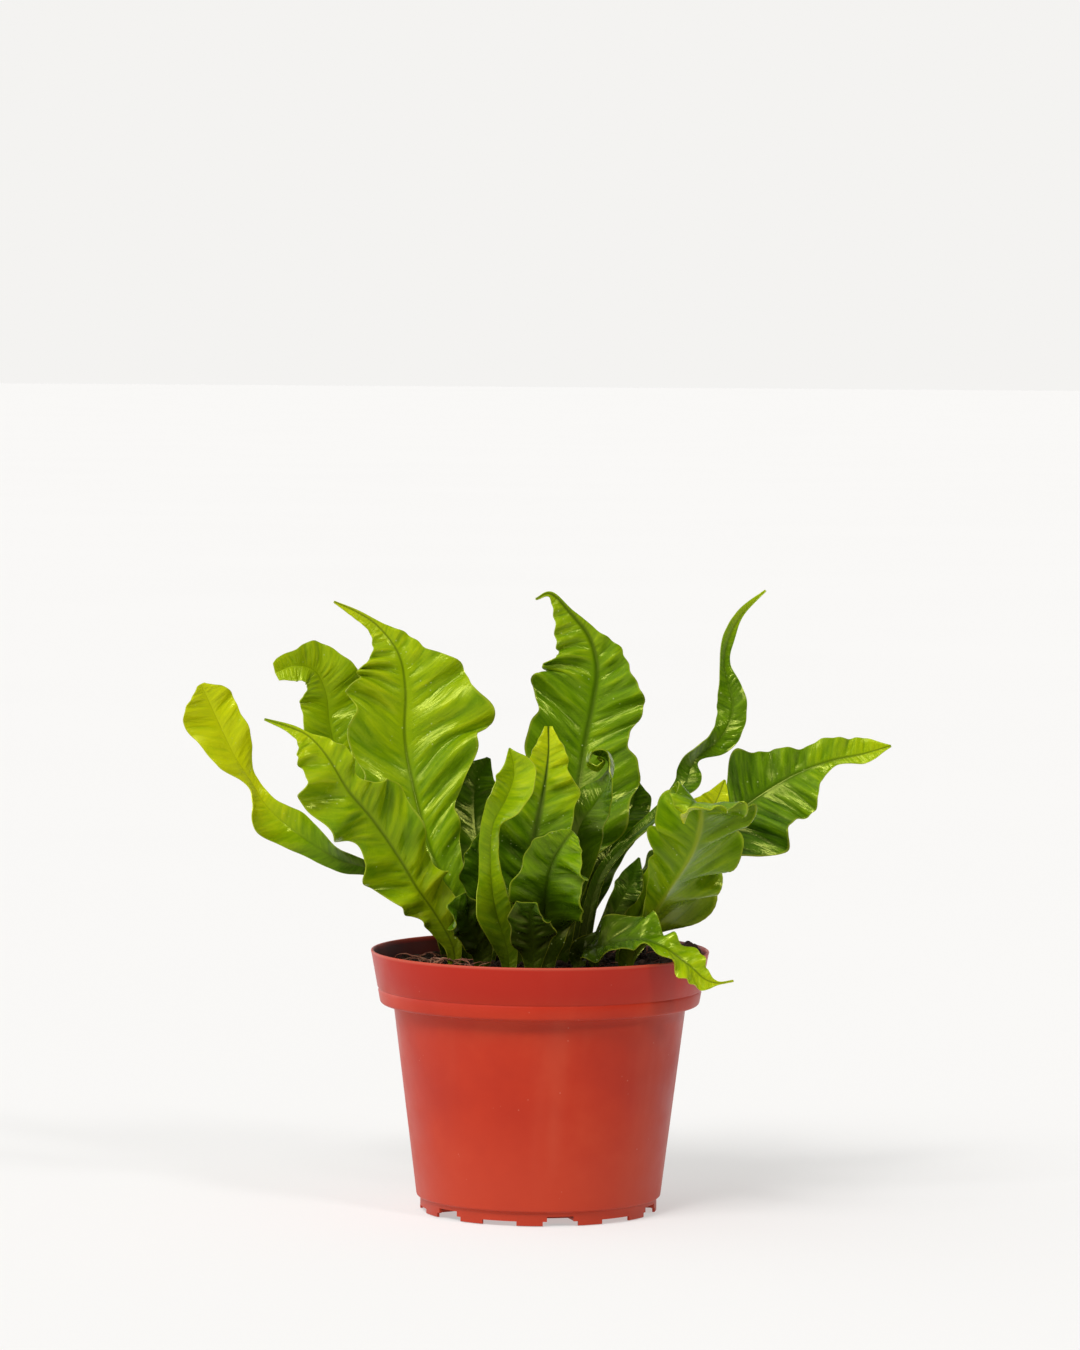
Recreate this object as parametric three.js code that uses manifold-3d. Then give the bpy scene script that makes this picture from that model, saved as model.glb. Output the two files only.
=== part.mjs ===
// A crispy wave bird's nest fern in its nursery pot: thin moulded pot, peat, and a rosette of waved fronds.
// Millimetres, +Z up. The pot's axis is Z, its feet stand on z = 0, and the plant's front looks along -Y.
import * as THREE from "three";
import { mergeVertices } from "three/addons/utils/BufferGeometryUtils.js";
import Module from "manifold-3d";

const wasm = await Module();
wasm.setup();

// Driving sizes of the pot
const potHeight = 117;
const rimRadius = 76;
const bandHeight = 24;
const bandFootRadius = 71.6;
const neckRadius = 65.7;
const bodyFootRadius = 55;
const skirtRadius = 53.2;
const skirtHeight = 6.4;
const wall = 1.2;
const floorHeight = 2.2;
const creaseHeight = potHeight - 0.72 * bandHeight;
const creaseDepth = 0.35;
const creaseHalfHeight = 0.8;
const cornerRadius = 1.6;
const neckDrop = 0.2;
const neckSlope = 0.4;
const lipDrop = 1;
const lipInset = 0.5;
const shoulderDrop = 1;
const shoulderRise = 0.6;
const potSides = 48;

// Feet and drain slots round the pot's bottom edge, counted from the front toward the right
const footCount = 12;
const footWidth = THREE.MathUtils.degToRad(12.6);
const firstFoot = THREE.MathUtils.degToRad(-4.1);
const slotCount = 6;
const slotWidth = THREE.MathUtils.degToRad(13);
const firstSlot = THREE.MathUtils.degToRad(10.7);
const slotHeight = 4.2;
const slotDepth = 9;
const footHeight = floorHeight - 0.2;
const cutMargin = 1;

// Soil. The lumps are waves across its surface, in radians for each millimetre.
const soilGap = 0.55;
const ledgeGap = 0.3;
const soilEdge = potHeight - 9.5;
const soilMound = 4.5;
const soilLump = 1.3;
const coarseLumps = { x: 0.31, y: 0.27, shift: 1.3 };
const fineLumps = { x: 0.53, y: 0.47, share: 0.6 };
const soilRings = 4;
const soilSides = potSides / 2;
const rootEnd = potHeight - 14;
const rootGap = 0.6;
const holeRadius = 4.8;
const holeHeight = 30;
const holeSides = 6;

// Fronds
const bladeThickness = 0.8;
const stalkThickness = 2.6;
const stalkHalfWidth = 1.7;
const leastHalfWidth = 0.5;
const usualCup = 16;

// The midrib's thickening: its share of the half width, how fast it thins from the stalk, and its least share
const ribReach = 0.6;
const stalkFade = 3;
const leastRib = 0.15;

// The margins' waves: how far they slant with the veins, how their crests lean and scallop the margin, how
// steeply they rise from the midrib, how their height swells and sinks, and how much flatter the tip's are
const veinSlant = 0.42;
const slantBreadth = 0.7;
const crestLean = 0.2;
const scallop = 0.1;
const ruffleCurve = 1.4;
const swell = 0.25;
const swellPitch = 2.7;
const tipCalm = 0.6;
const calmStart = 0.55;
const calmEnd = 0.9;

// The waves' uneven spacing along a margin, and how one margin's waves stand against the other's
const waveDrift = 0.12;
const driftTurns = 2.3;
const driftShift = 0.4;
const startSpread = 1.55;
const startShift = 0.5;

// The seeded draw's sine
const drawStep = 127.1;
const drawStart = 11.7;
const drawSpan = 43758.5453;

// The blade's mesh
const rowPitch = 6.5;
const rowsPerWave = 4.5;
const fewestRows = 12;
const wideHalf = 17;
const wideColumns = 6;
const narrowColumns = 4;
const narrowSpread = 3 * bladeThickness;
const fullSpread = 12 * bladeThickness;

// Each frond's midrib as points from its stalk to its tip, with heights above the pot's rim, and its half
// width at each of them, to the left and right of the midrib for one who sees its upper face. roll turns
// the blade about the midrib, in degrees at each point. face is where the upper face looks, cup how far the
// halves rise from flat, waves how many waves each margin has, and ruffle their height to the half width.
const front = [0, -1, 0.3];
const fronds = [
  {
    name: "frond_left_ribbon",
    mid: [
      [-42, 6, 1], [-53, 7, 25], [-74.7, 7, 34.5], [-91.6, 6, 40], [-110, 5, 51.5], [-123, 4, 63],
      [-130.5, 3, 74.3], [-138, 2, 86.3], [-145.5, 1, 102], [-150.5, 0, 113], [-153, -1, 118.4],
    ],
    left: [4, 4, 3, 6, 8, 13, 5, 12, 15.5, 12, 2],
    right: [4, 4, 3, 6, 9, 5, 5, 9, 12, 9, 2],
    roll: [0, 0, 30, 40, 20, 0, -40, -10, 0, 0, 0],
    waves: 5,
    ruffle: 0.3,
    face: [0.25, -1, 0.3],
  },
  {
    name: "frond_left_tall",
    mid: [
      [-28, 20, 1], [-47, 32, 29], [-72, 42, 54], [-90, 52, 75], [-97, 58, 95], [-99, 60, 110],
      [-104, 58, 121], [-113, 54, 124], [-122, 50, 121],
    ],
    left: [4, 11, 15, 17, 15, 13, 8, 8, 4.5],
    right: [4, 11, 15, 16, 15, 16, 15, 8, 4.5],
    roll: [0, 0, 0, 0, 0, 0, 0, 0, 0],
    waves: 7,
    ruffle: 0.22,
    face: [0.25, -1, 0.2],
  },
  {
    name: "frond_left_large",
    mid: [
      [-33, 4, 1], [-39, 6, 20], [-50, 11, 44], [-57, 18, 68], [-62, 25, 92], [-62, 30, 114], [-65, 33, 130],
      [-74, 34, 142.5], [-84, 32, 149.5], [-94.5, 29, 154.5],
    ],
    left: [5, 10, 15, 24, 26, 27, 20, 6, 3.5, 0.5],
    right: [5, 11, 14, 22, 37, 34.5, 13, 3, 1.2, 0.5],
    roll: [0, 0, 0, 0, 0, 0, 0, 0, 0, 0],
    waves: 9,
    ruffle: 0.1,
    face: [0.2, -1, 0.2],
  },
  {
    name: "frond_left_front",
    mid: [
      [-39, -10, 1], [-47, -14, 17], [-55, -20, 29], [-63, -26, 43], [-74, -34, 60], [-85, -42, 74],
      [-94, -46, 89], [-102, -46, 98], [-110, -46, 102], [-122, -47, 106],
    ],
    left: [4, 8, 13, 20, 16, 23, 17, 9, 3, 0.5],
    right: [4, 11, 14, 13, 21, 9, 9, 2, 1.5, 0.5],
    roll: [0, 0, 0, 0, 0, 0, 0, 0, 0, 0],
    waves: 8,
    ruffle: 0.3,
    face: [0.2, -1, 0.3],
  },
  {
    name: "frond_left_inner",
    mid: [[-19, 14, 1], [-22, 19, 15], [-26, 26, 29], [-30, 36, 53], [-30, 42, 70], [-24, 44, 83]],
    left: [4.4, 11, 13, 14, 13, 1],
    right: [4.4, 11, 13, 14, 12, 1],
    roll: [0, 0, 0, 0, 0, 0],
    waves: 4,
    ruffle: 0.3,
  },
  {
    name: "frond_front_folded",
    mid: [
      [-14, -36, 1], [-20, -42, 23], [-22, -48, 43], [-21, -53, 60], [-15, -57, 73], [-12, -59, 84],
      [-14, -60, 95],
    ],
    left: [5, 10, 6, 5, 8, 8, 0.5],
    right: [5, 7.5, 6.5, 6, 13, 13, 0.5],
    roll: [0, 0, 10, 25, 10, 0, 0],
    cup: 35,
    waves: 3,
    ruffle: 0.3,
  },
  {
    name: "frond_centre",
    mid: [[-8, -14, 1], [-6, -19, 28], [-3, -23, 51], [1, -24, 73], [3, -24, 89], [3, -22, 102]],
    left: [5.5, 14, 17, 15, 8, 2],
    right: [5.5, 14, 19, 17, 9, 2],
    roll: [0, 0, 0, 0, 0, 0],
    waves: 5,
    ruffle: 0.25,
    cup: 24,
  },
  {
    name: "frond_front_low",
    mid: [[3, -29, 1], [2, -38, 19], [3, -48, 34], [6, -55, 46], [11, -59, 54.5], [14, -60, 58.5]],
    left: [5.5, 10.5, 17, 13, 8, 2],
    right: [5.5, 15, 20, 19, 14, 4],
    roll: [0, 0, 0, 0, 0, 0],
    waves: 3,
    ruffle: 0.22,
    cup: 26,
  },
  {
    name: "frond_coiled",
    mid: [
      [9, -6, 1], [12, -8, 28], [17, -9, 55], [24, -9, 66], [30, -9, 75], [32, -9, 84], [28.5, -9, 90.5],
      [22, -9, 90.5], [20.5, -9, 84.5], [25, -9, 81.5], [28, -9, 85.5], [25, -9, 87.5],
    ],
    left: [5, 8, 12, 11, 7, 6, 6, 5.5, 5, 4.5, 3, 1],
    right: [5, 8, 12, 12, 9, 6, 6, 5.5, 5, 4.5, 3, 1],
    roll: [0, 0, 0, 20, 60, 85, 90, 90, 90, 90, 90, 90],
    waves: 5,
    ruffle: 0.12,
  },
  {
    name: "frond_right_tall",
    mid: [
      [3, 8, 1], [5, 13, 21], [9, 21, 44], [16, 29, 68], [19.5, 36, 90], [23, 40, 108], [25, 43, 124],
      [21.5, 44, 138], [13, 43, 149], [4, 41, 158], [-3, 37, 156],
    ],
    left: [4.5, 12, 18, 22, 26, 27.5, 26, 20, 11, 2.5, 0.5],
    right: [4.5, 12, 19, 29, 22, 23, 17, 6, 2, 1.2, 0.5],
    roll: [0, 0, 0, 0, 0, 0, 0, 0, 0, 0, 0],
    waves: 8,
    ruffle: 0.12,
  },
  {
    name: "frond_right_inner",
    mid: [[15, 22, 1], [26, 30, 28], [35, 40, 50], [42, 48, 62], [43, 50, 73]],
    left: [3.2, 9, 12, 11, 1.5],
    right: [3.2, 6, 9, 9, 1.5],
    roll: [0, 0, 0, 0, 0],
    waves: 4,
    ruffle: 0.3,
  },
  {
    name: "frond_right_thin",
    mid: [
      [20, 8, 1], [26, 12, 30], [39, 18, 47], [52, 24, 58], [65, 30, 73], [70, 34, 84], [82, 38, 94],
      [87, 42, 108], [83, 46, 126], [85, 48, 138], [91, 50, 149], [102, 52, 160],
    ],
    left: [3, 3, 3, 4, 5, 6, 6, 7, 3, 3.5, 3, 0.5],
    right: [3, 3, 3, 4, 8, 2, 8, 7, 3, 3, 1, 0.5],
    roll: [0, 0, 20, 40, 20, -40, -20, 0, -40, -40, -30, 0],
    waves: 5,
    ruffle: 0.3,
    face: [-0.2, -1, 0.2],
  },
  {
    name: "frond_right_long",
    mid: [
      [27, -3, 1], [44.1, 2, 26.8], [66.1, 7, 46.6], [87.3, 9, 61.2], [100.6, 10, 70.7], [115, 11, 79],
      [130.6, 12, 85], [144.6, 13, 88], [157.7, 14, 91.8],
    ],
    left: [3, 4, 6, 10, 22, 12, 10, 8, 0.5],
    right: [3, 4, 9, 29, 26, 19, 3.5, 5, 0.5],
    roll: [0, 0, 0, 0, 0, 0, 0, 0, 0],
    waves: 7,
    ruffle: 0.22,
    face: [-0.2, -1, 0.4],
  },
  {
    name: "frond_right_hidden",
    mid: [[37, -10, 1], [51, -11, 31], [67, -12, 52], [77, -12, 66], [82, -12, 78]],
    left: [3, 7, 9, 8, 0.5],
    right: [3, 7, 8, 8, 0.5],
    roll: [0, 0, 0, 0, 0],
    waves: 4,
    ruffle: 0.3,
  },
  {
    name: "frond_right_front",
    mid: [
      [40, -28, 1], [50, -38, 20], [57, -50, 33], [65, -61, 47], [69, -69, 59], [69.5, -77, 69],
      [67, -85, 73.5], [64, -90, 71], [61.5, -91, 65],
    ],
    left: [5, 30, 26, 26, 22, 22, 18, 12, 0.5],
    right: [5, 5, 11, 18, 20, 18, 12, 8, 0.5],
    roll: [0, 0, 0, 0, 0, 15, 28, 30, 15],
    face: [0, 0.3, 1],
    waves: 8,
    ruffle: 0.24,
  },
  {
    name: "frond_over_rim",
    mid: [
      [18, -26, 1], [27, -41, 6], [41, -51, 10], [53, -58, 8], [65, -60, 0], [72, -60, -6], [78, -59, -8],
      [85, -58, -7],
    ],
    left: [5, 10.5, 15.5, 8, 8, 4, 1, 0.5],
    right: [4, 8, 9, 6, 9, 6, 1, 0.5],
    roll: [0, 20, 40, 40, 30, 10, 0, 0],
    waves: 8,
    ruffle: 0.28,
  },
  {
    name: "frond_right_small",
    mid: [[25, -16, 1], [35, -15, 22], [40, -14, 31], [44, -13, 43]],
    left: [3, 5, 7, 0.5],
    right: [3, 5, 7, 0.5],
    roll: [0, 0, 0, 0],
    waves: 2,
    ruffle: 0.3,
  },
  {
    name: "frond_low_left",
    mid: [[-26, -25, 1], [-31, -32, 13], [-36, -40, 21], [-41, -46, 24]],
    left: [5, 9, 9, 1],
    right: [5, 10, 9, 1],
    roll: [0, 0, 0, 0],
    waves: 2,
    ruffle: 0.2,
  },
  {
    name: "frond_low_front",
    mid: [[-3, -46, 1], [-4, -51, 13], [-4, -57, 22], [-2, -62, 27]],
    left: [5, 10, 10, 1],
    right: [5, 11, 10, 1],
    roll: [0, 0, 0, 0],
    waves: 2,
    ruffle: 0.2,
  },
  {
    name: "frond_low_middle",
    mid: [[-24, -8, 1], [-25, -11, 22], [-26, -14, 42], [-25, -16, 56]],
    left: [5, 9, 9, 1],
    right: [5, 10, 9, 1],
    roll: [0, 0, 0, 0],
    waves: 3,
    ruffle: 0.2,
  },
  {
    name: "frond_back_left",
    mid: [[-24, 33, 1], [-28, 37, 12], [-38, 49, 28], [-54, 67, 44], [-66, 82, 52], [-74, 95, 50]],
    left: [5, 10, 13, 15, 12, 0.5],
    right: [5, 10, 13, 15, 12, 0.5],
    roll: [0, 0, 0, 0, 0, 0],
    face: [0.3, -0.6, 1],
    waves: 5,
    ruffle: 0.3,
  },
  {
    name: "frond_back",
    mid: [[-6, 30, 1], [-7, 33, 14], [-10, 44, 32], [-15, 62, 54], [-20, 82, 65], [-25, 99, 65]],
    left: [5.5, 12, 15, 15, 12, 0.5],
    right: [5.5, 12, 15, 15, 12, 0.5],
    roll: [0, 0, 0, 0, 0, 0],
    face: [0.1, -0.8, 1],
    waves: 5,
    ruffle: 0.3,
  },
  {
    name: "frond_back_right",
    mid: [[10, 37, 1], [12, 41, 13], [16, 52, 29], [20, 68, 46], [24, 82, 54], [27, 95, 52]],
    left: [5, 10, 12, 13, 11, 0.5],
    right: [5, 10, 11, 10, 9, 0.5],
    roll: [0, 0, 0, 0, 0, 0],
    face: [-0.2, -0.7, 1],
    waves: 5,
    ruffle: 0.3,
  },
  {
    name: "frond_back_side",
    mid: [[42, 14, 1], [54, 20, 16], [67, 27, 29], [79, 33, 36], [89, 38, 38]],
    left: [4, 7, 10, 9, 0.5],
    right: [4, 7, 10, 9, 0.5],
    roll: [0, 0, 0, 0, 0],
    waves: 4,
    ruffle: 0.3,
    face: [-0.5, -0.3, 1],
  },
  {
    name: "frond_back_far_right",
    mid: [[28, 22, 1], [44, 38, 20], [58, 54, 32], [70, 70, 38], [78, 82, 36]],
    left: [4, 8, 11, 10, 0.5],
    right: [4, 8, 11, 10, 0.5],
    roll: [0, 0, 0, 0, 0],
    face: [-0.4, -0.5, 1],
    waves: 5,
    ruffle: 0.3,
  },
];

// A number from 0 to 1 that is always the same for the same seed
function draw(seed) {
  const s = Math.sin(seed * drawStep + drawStart) * drawSpan;
  return s - Math.floor(s);
}

// The smooth curve through evenly spaced knots, at t from 0 to 1
function smooth(knots, t) {
  const last = knots.length - 1;
  const at = Math.min(t * last, last - 1e-9);
  const i = Math.floor(at);
  const w = at - i;
  const before = i > 0 ? knots[i - 1] : 2 * knots[0] - knots[1];
  const after = i + 2 <= last ? knots[i + 2] : 2 * knots[last] - knots[last - 1];
  const [p, q] = [knots[i], knots[i + 1]];
  const [u, v] = [(q - before) / 2, (after - p) / 2];
  return (2 * p - 2 * q + u + v) * w ** 3 + (3 * q - 3 * p - 2 * u - v) * w ** 2 + u * w + p;
}

// The midrib's curve, with its straight root end in the soil
function midribOf(frond) {
  const [x, y] = frond.mid[0];
  const points = frond.mid.map(([px, py, pz]) => new THREE.Vector3(px, py, potHeight + pz));
  const root = new THREE.Vector3(x, y, rootEnd);
  return new THREE.CatmullRomCurve3([root, ...points], false, "catmullrom", 0.5);
}

// Where a margin's wave stands at t along the midrib and a from it, as an angle
function wavePhase(frond, t, a, side) {
  const turn = frond.waves * (t - (veinSlant * a * frond.breadth) / frond.length);
  const drift = waveDrift * Math.sin(2 * Math.PI * (driftTurns * t + frond.seed + driftShift * side));
  const start = side < 0 ? frond.seed : startSpread * frond.seed + startShift;
  return 2 * Math.PI * (turn + drift + start);
}

// A point of the blade's middle surface, at t along the midrib and v from -1 at the left margin to 1
function bladePoint(frond, t, v) {
  const side = Math.sign(v);
  const a = Math.abs(v);
  const centre = frond.curve.getPoint(t);
  const along = frond.curve.getTangent(t);
  const across = along.clone().cross(frond.look).normalize();
  const up = across.clone().cross(along);
  const roll = THREE.MathUtils.degToRad(smooth(frond.rolls, t));
  const out = across.clone().multiplyScalar(Math.cos(roll)).addScaledVector(up, Math.sin(roll));
  const lift = out.clone().cross(along);
  const half = Math.max(smooth(side < 0 ? frond.lefts : frond.rights, t), leastHalfWidth);
  const free = Math.max(half - stalkHalfWidth, 0);
  const phase = wavePhase(frond, t, a, side);
  const calm = 1 - tipCalm * THREE.MathUtils.smoothstep(t, calmStart, calmEnd);
  const height = frond.ruffle * free * calm * (1 + swell * Math.sin(phase / swellPitch));
  const x = half * a * Math.cos(frond.tilt) + scallop * free * a * a * Math.cos(phase);
  const z = half * a * Math.sin(frond.tilt) + height * a ** ruffleCurve * Math.sin(phase);
  const lean = crestLean * height * a * a * Math.cos(phase);
  return centre.addScaledVector(out, side * x).addScaledVector(lift, z).addScaledVector(along, lean);
}

// Half the blade's thickness, fuller along the midrib and toward the stalk
function halfThickness(t, v) {
  const rib = Math.max(1 - Math.abs(v) / ribReach, 0);
  const stalk = Math.max(1 - t * stalkFade, leastRib);
  return bladeThickness / 2 + (rib * stalk * (stalkThickness - bladeThickness)) / 2;
}

// The blade's middle surface as rows of points across it, from the root to the tip
function middleSheet(frond, rows, columns) {
  const sheet = [];
  for (let i = 0; i <= rows; i++) {
    const row = [];
    for (let j = 0; j <= columns; j++) {
      row.push(bladePoint(frond, i / rows, (2 * j) / columns - 1));
    }
    sheet.push(row);
  }
  return sheet;
}

// The normal of the sheet's quad that starts at row i and column j
function quadNormal(sheet, i, j) {
  const rising = sheet[i + 1][j + 1].clone().sub(sheet[i][j]);
  return rising.cross(sheet[i + 1][j].clone().sub(sheet[i][j + 1])).normalize();
}

// The quads on either side of line k, of lines that run from 0 to last
function quadsBeside(k, last) {
  return k > 0 && k < last ? [k - 1, k] : [Math.min(k, last - 1)];
}

// The sheet's normal at a point, from the quads that meet there
function pointNormal(sheet, i, j) {
  const sum = new THREE.Vector3();
  for (const row of quadsBeside(i, sheet.length - 1)) {
    for (const column of quadsBeside(j, sheet[0].length - 1)) {
      sum.add(quadNormal(sheet, row, column));
    }
  }
  return sum.normalize();
}

// The sheet moved out by half the blade's thickness, to its upper face or, with face -1, to its lower one.
// A narrow row moves along its middle's normal alone.
function facePoints(sheet, face) {
  const [rows, columns] = [sheet.length - 1, sheet[0].length - 1];
  const positions = [];
  sheet.forEach((row, i) => {
    const spread = row[0].distanceTo(row[columns]);
    const own = THREE.MathUtils.smoothstep(spread, narrowSpread, fullSpread);
    const middle = pointNormal(sheet, i, columns / 2).multiplyScalar(1 - own);
    row.forEach((point, j) => {
      const normal = pointNormal(sheet, i, j).multiplyScalar(own).add(middle).normalize();
      const thick = halfThickness(i / rows, (2 * j) / columns - 1);
      positions.push(...point.clone().addScaledVector(normal, face * thick));
    });
  });
  return positions;
}

// The triangles of a closed blade: both faces split alike, then the two margins and the two ends
function bladeIndex(rows, columns) {
  const wide = columns + 1;
  const under = wide * (rows + 1);
  const end = rows * wide;
  const index = [];
  const quad = (a, b, c, d) => index.push(a, b, c, a, c, d);
  for (let i = 0; i < rows; i++) {
    for (let j = 0; j < columns; j++) {
      const [a, b, c, d] = [i * wide + j, i * wide + j + 1, (i + 1) * wide + j + 1, (i + 1) * wide + j];
      quad(a, b, c, d);
      index.push(under + a, under + c, under + b, under + a, under + d, under + c);
    }
  }
  for (let i = 0; i < rows; i++) {
    const [l, m] = [i * wide, (i + 1) * wide];
    quad(l, m, under + m, under + l);
    quad(l + columns, under + l + columns, under + m + columns, m + columns);
  }
  for (let j = 0; j < columns; j++) {
    quad(j, under + j, under + j + 1, j + 1);
    quad(end + j, end + j + 1, under + end + j + 1, under + end + j);
  }
  return index;
}

// The frond as a closed blade
function frondGeometry(frond) {
  const rows = Math.max(fewestRows, Math.round(frond.length / rowPitch), Math.round(rowsPerWave * frond.waves));
  const columns = Math.max(...frond.left, ...frond.right) > wideHalf ? wideColumns : narrowColumns;
  const sheet = middleSheet(frond, rows, columns);
  const positions = [...facePoints(sheet, 1), ...facePoints(sheet, -1)];
  const geometry = new THREE.BufferGeometry();
  geometry.setAttribute("position", new THREE.Float32BufferAttribute(positions, 3));
  geometry.setIndex(bladeIndex(rows, columns));
  return geometry;
}

// A geometry as a solid that can be joined and cut, and back
function toSolid(geometry) {
  const bare = geometry.clone();
  bare.deleteAttribute("normal");
  bare.deleteAttribute("uv");
  const merged = mergeVertices(bare, 1e-4);
  const vertProperties = new Float32Array(merged.attributes.position.array);
  const triVerts = new Uint32Array(merged.index.array);
  return new wasm.Manifold(new wasm.Mesh({ numProp: 3, vertProperties, triVerts }));
}

function toGeometry(solid) {
  const mesh = solid.getMesh();
  const geometry = new THREE.BufferGeometry();
  geometry.setAttribute("position", new THREE.Float32BufferAttribute(mesh.vertProperties, 3));
  geometry.setIndex([...mesh.triVerts]);
  return geometry;
}

// A closed turned body from its section, given as points of radius and height
function turned(section, sides) {
  const body = new THREE.LatheGeometry(section.map(([r, z]) => new THREE.Vector2(r, z)), sides);
  return body.rotateX(Math.PI / 2);
}

// The pot's wall section from the axis under the floor, up the outside, and down the inside to the axis
function potSection() {
  const bandFoot = potHeight - bandHeight;
  const taper = (rimRadius - bandFootRadius) / bandHeight;
  const crease = rimRadius - taper * (potHeight - creaseHeight) - creaseDepth;
  return [
    [0, floorHeight], [skirtRadius - wall, floorHeight], [skirtRadius - wall, 0], [skirtRadius, 0],
    [skirtRadius, skirtHeight - shoulderDrop], [bodyFootRadius, skirtHeight + shoulderRise],
    [neckRadius, bandFoot - neckDrop],
    [bandFootRadius - cornerRadius, bandFoot], [bandFootRadius, bandFoot + cornerRadius],
    [crease + creaseDepth, creaseHeight - creaseHalfHeight], [crease, creaseHeight],
    [crease + creaseDepth, creaseHeight + creaseHalfHeight],
    [rimRadius, potHeight - lipDrop], [rimRadius - lipInset, potHeight], [rimRadius - wall, potHeight],
    [bandFootRadius - wall, bandFoot + wall], [neckRadius - wall, bandFoot + wall - neckSlope],
    [bodyFootRadius - wall, skirtHeight + shoulderDrop], [skirtRadius - wall, skirtHeight - shoulderRise],
    [skirtRadius - wall, floorHeight + wall], [0, floorHeight + wall],
  ];
}

// A wedge of a ring round the pot's axis, turned to its angle, from below the pot's feet up to high
function wedge(angle, width, inner, high) {
  const middle = angle - Math.PI / 2;
  const shape = new THREE.Shape();
  shape.absarc(0, 0, rimRadius, middle - width / 2, middle + width / 2, false);
  shape.absarc(0, 0, inner, middle + width / 2, middle - width / 2, true);
  const depth = high + cutMargin;
  const geometry = new THREE.ExtrudeGeometry(shape, { depth, bevelEnabled: false, curveSegments: 3 });
  geometry.translate(0, 0, -cutMargin);
  return toSolid(geometry);
}

function buildPot() {
  let pot = toSolid(turned(potSection(), potSides));
  const pitch = (2 * Math.PI) / footCount;
  for (let k = 0; k < footCount; k++) {
    const between = firstFoot + (k + 0.5) * pitch;
    pot = pot.subtract(wedge(between, pitch - footWidth, skirtRadius - 2 * wall, footHeight));
  }
  for (let k = 0; k < slotCount; k++) {
    const angle = firstSlot + (k * 2 * Math.PI) / slotCount;
    pot = pot.subtract(wedge(angle, slotWidth, skirtRadius - slotDepth, slotHeight));
  }
  return toGeometry(pot);
}

// Height of the soil's surface, lumpy and mounded toward the crown
function soilTop(x, y) {
  const r = Math.hypot(x, y) / rimRadius;
  const coarse = Math.sin(x * coarseLumps.x + coarseLumps.shift) * Math.cos(y * coarseLumps.y);
  const fine = Math.sin(x * fineLumps.x - y * fineLumps.y);
  return soilEdge + soilMound * (1 - r * r) + soilLump * (coarse + fineLumps.share * fine);
}

// The soil's section from the axis at its base, up the pot's inside, and over its surface to the axis
function soilSection() {
  const bandFoot = potHeight - bandHeight;
  const inner = (r) => r - wall - soilGap;
  const base = floorHeight + wall + soilGap;
  const rise = (soilEdge - bandFoot) / bandHeight;
  const topRadius = inner(bandFootRadius + rise * (rimRadius - bandFootRadius));
  const section = [
    [0, base], [inner(skirtRadius), base], [inner(skirtRadius), skirtHeight - shoulderRise],
    [inner(bodyFootRadius), skirtHeight + 2 * shoulderRise], [inner(neckRadius), bandFoot + wall],
    [inner(bandFootRadius) - ledgeGap, bandFoot + wall + soilGap + ledgeGap], [topRadius, soilEdge],
  ];
  for (let k = soilRings - 1; k >= 0; k--) {
    section.push([(topRadius * k) / soilRings, soilEdge]);
  }
  return section;
}

// The plain hole that a frond's stalk stands in
function stalkHole(frond) {
  const root = frond.curve.getPoint(0);
  const hole = new THREE.CylinderGeometry(holeRadius, holeRadius, holeHeight, holeSides);
  hole.rotateX(Math.PI / 2);
  hole.translate(root.x, root.y, rootEnd - rootGap + holeHeight / 2);
  return toSolid(hole);
}

function buildSoil() {
  const body = turned(soilSection(), soilSides);
  const places = body.attributes.position;
  for (let i = 0; i < places.count; i++) {
    if (places.getZ(i) > soilEdge - 0.01) {
      places.setZ(i, soilTop(places.getX(i), places.getY(i)));
    }
  }
  let soil = toSolid(body);
  for (const frond of fronds) {
    soil = soil.subtract(stalkHole(frond));
  }
  return toGeometry(soil);
}

// A named piece with its own material
function piece(name, geometry, colour, roughness) {
  const material = new THREE.MeshStandardMaterial({ color: colour, roughness, metalness: 0 });
  const mesh = new THREE.Mesh(geometry, material);
  mesh.name = name;
  return mesh;
}

fronds.forEach((frond, k) => {
  frond.curve = midribOf(frond);
  frond.length = frond.curve.getLength();
  frond.look = new THREE.Vector3(...(frond.face ?? front)).normalize();
  frond.lefts = [stalkHalfWidth, ...frond.left];
  frond.rights = [stalkHalfWidth, ...frond.right];
  frond.rolls = [frond.roll[0], ...frond.roll];
  frond.breadth = Math.max(...frond.left, ...frond.right) * slantBreadth;
  frond.tilt = THREE.MathUtils.degToRad(frond.cup ?? usualCup);
  frond.seed = draw(k + 1);
});

const fern = new THREE.Group();
fern.add(piece("pot", buildPot(), 0xc04a2c, 0.45));
fern.add(piece("soil", buildSoil(), 0x2a1a12, 0.95));
for (const frond of fronds) {
  fern.add(piece(frond.name, frondGeometry(frond), 0x6f9d12, 0.4));
}

export default fern;
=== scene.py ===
import math

import bmesh
import bpy
import numpy as np
from mathutils import Matrix, Vector, noise


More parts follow.
